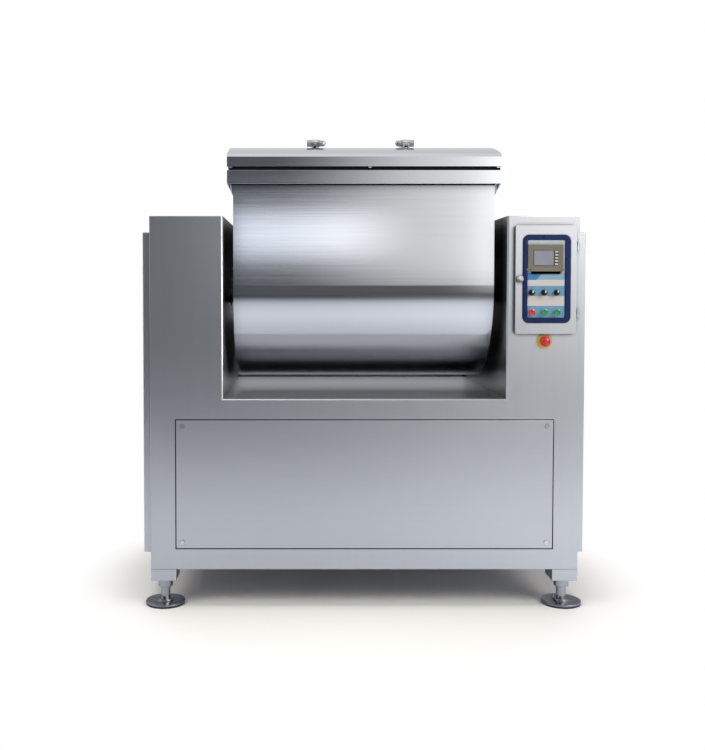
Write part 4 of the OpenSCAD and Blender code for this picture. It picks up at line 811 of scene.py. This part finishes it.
class MIXER_OT_lid_bolts(bpy.types.Operator):
    """Turn the lid's hinge shaft, its pivot bolts and their domed nuts"""
    bl_idname = "mixer.lid_bolts"
    bl_label = "Lid bolts"

    def execute(self, context):
        low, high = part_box("lid_bolts")
        # The hinge shaft lies behind the lid and the bolts above it, both along X
        shaft_r = 12 * MM
        chamfer = 1.5 * MM
        # A trace thinner than the real shaft, so that its facets turn freely in the round eyes
        drawn_r = shaft_r - 0.15 * MM
        bm = turned_body(bmesh.new(), [
            (0, low.x), (drawn_r - chamfer, low.x), (drawn_r, low.x + chamfer),
            (drawn_r, high.x - chamfer), (drawn_r - chamfer, high.x), (0, high.x)],
            (0, high.y - shaft_r, low.z + shaft_r), (1, 0, 0), 40)

        head_r, head_t, washer_r, washer_t = 15 * MM, 20 * MM, 15 * MM, 4 * MM
        hex_r, hex_t, dome_r, shank_r = 13.5 * MM, 14 * MM, 12 * MM, 8 * MM
        washer_edge, hex_edge = 0.6 * MM, 1.2 * MM
        bolt_y = low.y + head_r
        bolt_z = high.z - head_r
        lug = 8.3 * MM
        arm_half = 6 * MM
        arm_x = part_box("lid_arms")[1].x - arm_half
        outer = arm_x + arm_half + lug
        inner = arm_x - arm_half - lug
        nut = inner - washer_t
        washer = [(0, nut), (washer_r - washer_edge, nut), (washer_r, nut + washer_edge),
                  (washer_r, inner - washer_edge), (washer_r - washer_edge, inner), (0, inner)]
        dome = [(0, nut - hex_t)] + [(x, nut - hex_t - y)
                                     for x, y in arc((0, 0), dome_r, 0, 90, 8)]
        shank = [(0, nut), (shank_r, nut), (shank_r, outer), (0, outer)]
        for side in (-1, 1):
            for outline in (washer, dome, shank):
                turned_body(bm, outline, (0, bolt_y, bolt_z), (side, 0, 0), 32)
            # Six-sided head of the bolt, and the hexagon of its domed nut
            for radius, thickness, place in ((head_r, head_t, outer + head_t / 2),
                                             (hex_r, hex_t, nut - hex_t / 2)):
                old = set(bm.edges)
                made = bmesh.ops.create_cone(bm, cap_ends=True, segments=6, radius1=radius,
                                             radius2=radius, depth=thickness)["verts"]
                bmesh.ops.rotate(bm, cent=(0, 0, 0), verts=made,
                                 matrix=Matrix.Rotation(math.radians(90), 3, "Y"))
                bmesh.ops.translate(bm, vec=(side * place, bolt_y, bolt_z), verts=made)
                round_edges(bm, [e for e in bm.edges if e not in old], hex_edge, 2)
        hand_over("lid_bolts_turned", bm, "lid", "polished", "lid_bolts", smooth=30)
        return {"FINISHED"}


class MIXER_OT_feet(bpy.types.Operator):
    """Turn the feet: boss, spindle, chromed disc and rubber ring under each leg"""
    bl_idname = "mixer.feet"
    bl_label = "Feet"

    def execute(self, context):
        low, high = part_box("foot_discs")
        disc_r = 78 * MM
        places = [(x, y) for x in (low.x + disc_r, high.x - disc_r)
                  for y in (low.y + disc_r, high.y - disc_r)]
        boss_z, leg_end = (corner.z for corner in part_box("foot_nuts"))
        pad_t, disc_t, hub_r, hub_h, rod_r, boss_r = (
            6 * MM, 8 * MM, 31 * MM, 8 * MM, 19 * MM, 29 * MM)
        top = pad_t + disc_t
        hub_top = top + hub_h
        hollow = rod_r + 0.1 * MM
        fillet, fall = 4 * MM, 0.6 * MM
        disc_edge, hub_edge, edge = 2.5 * MM, 1.5 * MM, 2 * MM

        disc = ([(hollow, pad_t), (disc_r - MM, pad_t), (disc_r, pad_t + MM)]
                + rounded_rim(disc_r, top, disc_edge)
                # A shallow fall from the hub to the rim, and a fillet at the foot of the hub
                + [(hub_r + 2 * fillet, top + fall)]
                + arc((hub_r + fillet, top + fall + fillet), fillet, -90, -180, 4)
                + rounded_rim(hub_r, hub_top, hub_edge, 3)
                + [(hollow, hub_top), (hollow, pad_t)])
        # A rubber ring that grips the floor, its rim drawn in a little under the disc
        pad_r, bevel = disc_r - MM, 1.5 * MM
        pad = [(0, 0), (pad_r - edge, 0), (pad_r, bevel), (pad_r, pad_t - bevel),
               (pad_r - MM, pad_t), (0, pad_t)]
        # Smooth polished spindle, which ends with a small chamfer inside the leg
        in_leg = 60 * MM
        rod_top = leg_end + in_leg
        rod = [(0, top), (rod_r, top), (rod_r, rod_top - edge), (rod_r - edge, rod_top),
               (0, rod_top)]
        boss = ([(hollow, boss_z), (boss_r - edge, boss_z)]
                + arc((boss_r - edge, boss_z + edge), edge, -90, 0, 3)
                + [(boss_r, leg_end), (hollow, leg_end), (hollow, boss_z)])
        for name, outline, finish, node in (
                ("foot_discs_turned", disc, "dark_chrome", "foot_discs"),
                ("foot_pads_moulded", pad, "foot_rubber", "foot_pads"),
                ("foot_spindles_turned", rod, "polished", "foot_spindles"),
                ("foot_bosses_turned", boss, "polished", "foot_nuts")):
            bm = bmesh.new()
            for x, y in places:
                turned_body(bm, outline, (x, y, 0), (0, 0, 1), 56)
            hand_over(name, bm, "body", finish, node)

        # The legs' sleeves: the edges at their foot, and the upright ones to the bottom plate
        body_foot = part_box("bottom_plate")[0].z - MM
        least, most = 40 * MM, 60 * MM
        dress("base_legs", "base_legs_rounded", "body", "skin", edge,
              keep=lambda a, b: max(a.z, b.z) < body_foot or least < (a - b).length < most)
        return {"FINISHED"}


class MIXER_OT_control_door(bpy.types.Operator):
    """Fold the control door, raise its blue bezel and set the lock and the hinges"""
    bl_idname = "mixer.control_door"
    bl_label = "Control door"

    def execute(self, context):
        sizes = context.scene.mixer_sizes
        low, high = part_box("control_door")
        # The knuckles reach past the door's own right edge, and only the folded sheet is rounded,
        # near the rim of its face
        sheet_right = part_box("door_hinges")[0].x - 1.5 * MM
        rim = 10 * MM
        dress("control_door", "control_door_folded", "door", "skin", sizes.door_bend, steps=4,
              keep=lambda a, b: max(a.y, b.y) < low.y + NEAR and all(
                  min(v.x - low.x, sheet_right - v.x, v.z - low.z, high.z - v.z) < rim
                  for v in (a, b)))
        dress("door_hinges", "door_hinges_turned", "body", "turned", radius=0.6 * MM, steps=2)

        # Enamelled bezel with a soft roll at its outer edge and a tighter one inside
        low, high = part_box("blue_bezel")
        middle = (low + high) / 2
        reach = (high - low) / 2
        band = 8 * MM
        bm = merged_copy("blue_bezel")
        front_rim = sharp_edges(bm, lambda a, b: max(a.y, b.y) < low.y + NEAR)
        outside = [e for e in front_rim if max(
            abs(e.verts[0].co.x - middle.x) - reach.x, abs(e.verts[0].co.z - middle.z) - reach.z)
            > -band]
        inside = [e for e in front_rim if e not in outside]
        round_edges(bm, outside, sizes.bezel_roll, 5)
        round_edges(bm, [e for e in inside if e.is_valid], sizes.bezel_inner_roll, 4)
        hand_over("blue_bezel_rolled", bm, "door", "bezel", "blue_bezel")

        # Quarter-turn lock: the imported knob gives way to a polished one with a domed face
        low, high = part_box("door_lock")
        knob_r = (high.x - low.x) / 2
        knob_t, roll, roll_depth, dome = 6 * MM, 2.4 * MM, 2.9 * MM, 0.2 * MM
        centre = front_centre("door_lock", 0)
        bm = merged_copy("door_lock")
        knob = [v for v in bm.verts if v.co.y < low.y + knob_t + NEAR
                and (Vector((v.co.x, 0, v.co.z)) - centre).length > knob_r - MM
                or v.co.y < low.y + NEAR]
        bmesh.ops.delete(bm, geom=knob, context="VERTS")
        bmesh.ops.holes_fill(bm, edges=[e for e in bm.edges if e.is_boundary], sides=0)
        turned_body(bm, [(0, 0), (knob_r - MM, 0), (knob_r, MM), (knob_r, 0.45 * knob_t)]
                    + arc((knob_r - roll, knob_t - roll_depth), roll, 10, 70, 4)
                    + [(0.5 * knob_r, knob_t - dome), (0, knob_t)],
                    centre + Vector((0, low.y + knob_t, 0)), FORWARD)
        hand_over("door_lock_turned", bm, "door_lock", "polished", "door_lock")
        return {"FINISHED"}


class MIXER_OT_operator_panel(bpy.types.Operator):
    """Print the control film and set the operator panel, its screen and its keys on it"""
    bl_idname = "mixer.operator_panel"
    bl_label = "Operator panel"

    def execute(self, context):
        hand_over("overlay_printed", merged_copy("overlay_plate"), "door", "film", "overlay_plate")

        low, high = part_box("operator_panel")
        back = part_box("overlay_plate")[0].y
        frame_depth = back - low.y
        bm = plate(bmesh.new(), low, (high.x, back, high.z), corner=4 * MM, edge=2.2 * MM,
                   corner_steps=4, edge_steps=3)

        def front():
            return max((f for f in bm.faces if f.normal.y < -0.9), key=lambda f: f.calc_area())

        # A first step in, where the close points of the rounded corners are drawn together
        first_in, drawn_together = 1.6 * MM, 0.6 * MM
        bmesh.ops.inset_region(bm, faces=[front()], thickness=first_in)
        bmesh.ops.remove_doubles(bm, verts=front().verts[:], dist=drawn_together)
        # A shallow well runs round the screen, inside a raised frame with a groove in it: each
        # step in has its width in millimetres and its depth as a share of the frame's
        well_share = 0.22
        for width, depth in ((1.5, 0), (0.6, -0.08), (1.0, 0), (0.6, 0.08), (2.4, 0),
                             (1.4, -well_share)):
            bmesh.ops.inset_region(bm, faces=[front()], thickness=width * MM,
                                   depth=depth * frame_depth, use_even_offset=True)
        body_in = 8 * MM
        plate(bm, (low.x + body_in, back, low.z + body_in),
              (high.x - body_in, high.y, high.z - body_in))
        hand_over("operator_panel_moulded", bm, "door", "operator_frame", "operator_panel",
                  smooth=50)

        # The screen lies in a dark rim, a painted shade for the recess that it lies in, and the
        # keys on a dark strip beside it
        gasket_t, glass_t, key_t = 0.5 * MM, 0.9 * MM, 1.2 * MM
        well = low.y + well_share * frame_depth
        for name, node, over in (("screen_shade_rim", "operator_screen", 2.2),
                                 ("key_strip", "operator_keys", 1.6)):
            at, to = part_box(node)
            rim = Vector((over, 0, over)) * MM
            bm = plate(bmesh.new(), Vector((at.x, well - gasket_t, at.z)) - rim,
                       Vector((to.x, well, to.z)) + rim, corner=1.5 * MM, edge=0.3 * MM)
            hand_over(name, bm, "door", "black")
        low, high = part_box("operator_screen")
        bm = plate(bmesh.new(), (low.x, well - glass_t, low.z), (high.x, well, high.z),
                   corner=MM, edge=0.4 * MM)
        hand_over("operator_screen_glazed", bm, "door", "screen", "operator_screen")

        low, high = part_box("operator_keys")
        count = 5
        key_h, end_gap = 7.2 * MM, 4 * MM
        pitch = (high.z - low.z - 2 * end_gap) / (count - 1)
        bm = bmesh.new()
        for k in range(count):
            z = low.z + end_gap + k * pitch
            plate(bm, (low.x, well - key_t, z - key_h / 2), (high.x, well, z + key_h / 2),
                  corner=1.4 * MM, edge=0.5 * MM)
        hand_over("operator_keys_moulded", bm, "door", "key", "operator_keys")
        return {"FINISHED"}


class MIXER_OT_switches(bpy.types.Operator):
    """Set the switch rings, the three selector knobs and the three push buttons"""
    bl_idname = "mixer.switches"
    bl_label = "Switches"

    def execute(self, context):
        front, rear = (corner.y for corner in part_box("switch_bodies"))
        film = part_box("overlay_plate")[0].y
        ring_t, roll, fall, floor_t = film - front, 1.6 * MM, 0.6 * MM, MM
        half_w, half_h, behind_film = 15 * MM, 14 * MM, 4 * MM
        knobs = ["selector_left", "selector_middle", "selector_right"]
        buttons = ["stop_button", "start_button", "jog_button"]

        # Black rings under the knobs, bright ones round the buttons, all with their barrels
        for name, nodes, ring_r, bore_r, finish, packed in (
                ("knob_rings", knobs, 12 * MM, 11.2 * MM, "black", "switch_bodies"),
                ("button_rings", buttons, 14.5 * MM, 12.5 * MM, "turned", None)):
            ring = ([(0, 0), (ring_r, 0), (ring_r, ring_t - roll)]
                    + arc((ring_r - roll, ring_t - roll), roll, 15, 75, 3)
                    + [(bore_r, ring_t - fall), (bore_r, floor_t), (0, floor_t)])
            bm = bmesh.new()
            for node in nodes:
                at = front_centre(node, film)
                turned_body(bm, ring, at, FORWARD)
                # The barrel and its contact block stand behind the door
                plate(bm, at + Vector((-half_w, behind_film, -half_h)),
                      (at.x + half_w, rear, at.z + half_h), edge=MM, edge_steps=3)
            hand_over(name, bm, "door", finish, packed)

        grip_h, grip_half, pointer_half = 12 * MM, 4 * MM, 2.4 * MM
        knob_foot, edge, drawn_in, proud, pointer_foot = (
            1.2 * MM, 2 * MM, 2 * MM, 0.3 * MM, 0.5 * MM)
        for node in knobs:
            at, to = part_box(node)
            centre = front_centre(node, film)
            knob_r = (to.x - at.x) / 2
            tip = film - at.y
            skirt = tip - grip_h
            rim = rounded_rim(knob_r, skirt, edge)
            bm = turned_body(bmesh.new(), [(0, knob_foot), (knob_r, knob_foot),
                                           (knob_r, skirt - edge), *rim, (0, skirt)],
                             centre, FORWARD)
            # Grip bar with round ends, drawn in towards its top
            grip = Vector((grip_half, 0, 0.97 * knob_r))
            old = set(bm.verts)
            plate(bm, centre - grip + Vector((0, -tip, 0)),
                  centre + grip + Vector((0, MM - skirt, 0)), corner=3.5 * MM, edge=1.4 * MM,
                  corner_steps=4, edge_steps=3)
            for vert in bm.verts:
                if vert not in old and vert.co.y < centre.y - tip + drawn_in:
                    vert.co.z = centre.z + (vert.co.z - centre.z) * 0.9
            hand_over(node + "_moulded", bm, node, "black", node)
            # White pointer let into the upper half of the grip
            bm = plate(bmesh.new(),
                       centre + Vector((-pointer_half, -tip - proud, -pointer_foot)),
                       centre + Vector((pointer_half, -tip + MM, 0.8 * knob_r)),
                       corner=1.6 * MM, edge=0.3 * MM)
            hand_over(node + "_pointer", bm, node, "pointer")

        cap_r, hollow_rim, hollow_middle = 12.3 * MM, 0.5 * MM, 0.8 * MM
        # Pushed in by its 4 mm, a cap still clears the floor of its ring
        cap_rear = 5.2 * MM
        for node, finish in zip(buttons, ("red", "green", "green")):
            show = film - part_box(node)[0].y
            # Cap with a rounded rim and a slightly hollow face for the finger
            bm = turned_body(bmesh.new(), [
                (0, cap_rear), (cap_r, cap_rear), (cap_r, show - edge),
                *rounded_rim(cap_r, show, edge), (0.6 * cap_r, show - hollow_rim),
                (0, show - hollow_middle)], front_centre(node, film), FORWARD)
            hand_over(node + "_moulded", bm, node, finish, node)
        return {"FINISHED"}


class MIXER_OT_emergency_stop(bpy.types.Operator):
    """Turn the yellow plate, the collar and the red mushroom of the emergency stop"""
    bl_idname = "mixer.emergency_stop"
    bl_label = "Emergency stop"

    def execute(self, context):
        low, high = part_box("estop_plate")
        skin = high.y
        centre = front_centre("estop_plate", skin)
        plate_r = (high.x - low.x) / 2
        plate_t = high.y - low.y
        bore_r, edge = 11 * MM, 1.2 * MM
        # The plate lies on the skin with a trace of a gap
        rear = 0.02 * MM
        bm = turned_body(bmesh.new(), [
            (bore_r, rear), (plate_r, rear), (plate_r, plate_t - edge),
            *rounded_rim(plate_r, plate_t, edge, 3), (bore_r, plate_t), (bore_r, rear)],
            centre, FORWARD, 64)
        hand_over("estop_plate_moulded", bm, "body", "yellow", "estop_plate")

        dress("estop_body", "estop_body_moulded", "body", "black", radius=0.5 * MM, steps=2)

        # Mushroom: rounded rim, full dome, and a hollow back round the stem
        low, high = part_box("estop_button")
        cap_r = (high.x - low.x) / 2
        cap_t, edge, stem_r = 14 * MM, 2.2 * MM, 7 * MM
        lip_in, lip_out, hollow_t = 3 * MM, 2.4 * MM, 1.5 * MM
        tip = skin - low.y
        stem_end = skin - high.y
        back = tip - cap_t
        hollow = back + hollow_t
        dome = [(radius, back + edge + (cap_t - edge) * math.sqrt(
                    max(0, 1 - (radius / cap_r) ** 2)) ** 1.15)
                for radius in (cap_r * math.cos(math.radians(a)) for a in range(15, 91, 7))]
        bm = turned_body(bmesh.new(), [
            (0, stem_end), (stem_r, stem_end), (stem_r, hollow), (cap_r - lip_in, hollow),
            (cap_r - lip_out, back), *arc((cap_r - edge, back + edge), edge, -60, 20, 5),
            *dome, (0, tip)], centre, FORWARD, 64)
        hand_over("estop_mushroom", bm, "estop_button", "mushroom", "estop_button")
        return {"FINISHED"}


class MIXER_OT_cover_screws(bpy.types.Operator):
    """Round the heads of the cover screws and sink their sockets"""
    bl_idname = "mixer.cover_screws"
    bl_label = "Cover screws"

    def execute(self, context):
        bm = merged_copy("cover_screws")
        low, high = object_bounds()
        least_round, step_out = 46 * MM, 30 * MM

        def is_head(face):
            """A head's outer face is large and round, and a step out of it leaves the machine."""
            outward = face.calc_center_median() + face.normal * step_out
            return (len(face.verts) > 24 and face.calc_perimeter() > least_round
                    and not all(a < v < b for a, v, b in zip(low, outward, high)))

        heads = [face for face in bm.faces if is_head(face)]
        rim_w, socket_lean, socket_depth, head_edge = 3.6 * MM, 0.2 * MM, 2.2 * MM, 1.1 * MM
        rims = bmesh.ops.inset_individual(bm, faces=heads, thickness=rim_w)["faces"]
        bmesh.ops.inset_individual(bm, faces=heads, thickness=socket_lean, depth=-socket_depth)
        round_edges(bm, {e for f in rims for e in f.edges
                         if e.calc_face_angle(0) > math.radians(60)}, head_edge)
        hand_over("cover_screws_turned", bm, "body", "turned", "cover_screws")
        return {"FINISHED"}


class MIXER_PT_pieces(bpy.types.Panel):
    """The mixer's pieces, sizes and colours"""
    bl_idname = "MIXER_PT_pieces"
    bl_label = "Vacuum dough mixer"
    bl_space_type = "VIEW_3D"
    bl_region_type = "UI"
    bl_category = "Mixer"

    def draw(self, context):
        for piece in PIECES:
            self.layout.operator(piece.bl_idname)
        for group in (context.scene.mixer_sizes, context.scene.mixer_colours):
            for name in group.__annotations__:
                self.layout.prop(group, name)


PIECES = [MIXER_OT_finishes, MIXER_OT_stage, MIXER_OT_body_skins, MIXER_OT_covers,
          MIXER_OT_trough_and_lid, MIXER_OT_lid_bolts, MIXER_OT_feet, MIXER_OT_control_door,
          MIXER_OT_operator_panel, MIXER_OT_switches, MIXER_OT_emergency_stop,
          MIXER_OT_cover_screws]
CLASSES = [MixerColours, MixerSizes, *PIECES, MIXER_PT_pieces]


def register():
    for item in CLASSES:
        bpy.utils.register_class(item)
    bpy.types.Scene.mixer_colours = bpy.props.PointerProperty(type=MixerColours)
    bpy.types.Scene.mixer_sizes = bpy.props.PointerProperty(type=MixerSizes)


def unregister():
    del bpy.types.Scene.mixer_sizes
    del bpy.types.Scene.mixer_colours
    for item in reversed(CLASSES):
        bpy.utils.unregister_class(item)


def main():
    register()
    for piece in PIECES:
        group, name = piece.bl_idname.split(".")
        getattr(getattr(bpy.ops, group), name)()


if __name__ == "__main__":
    main()
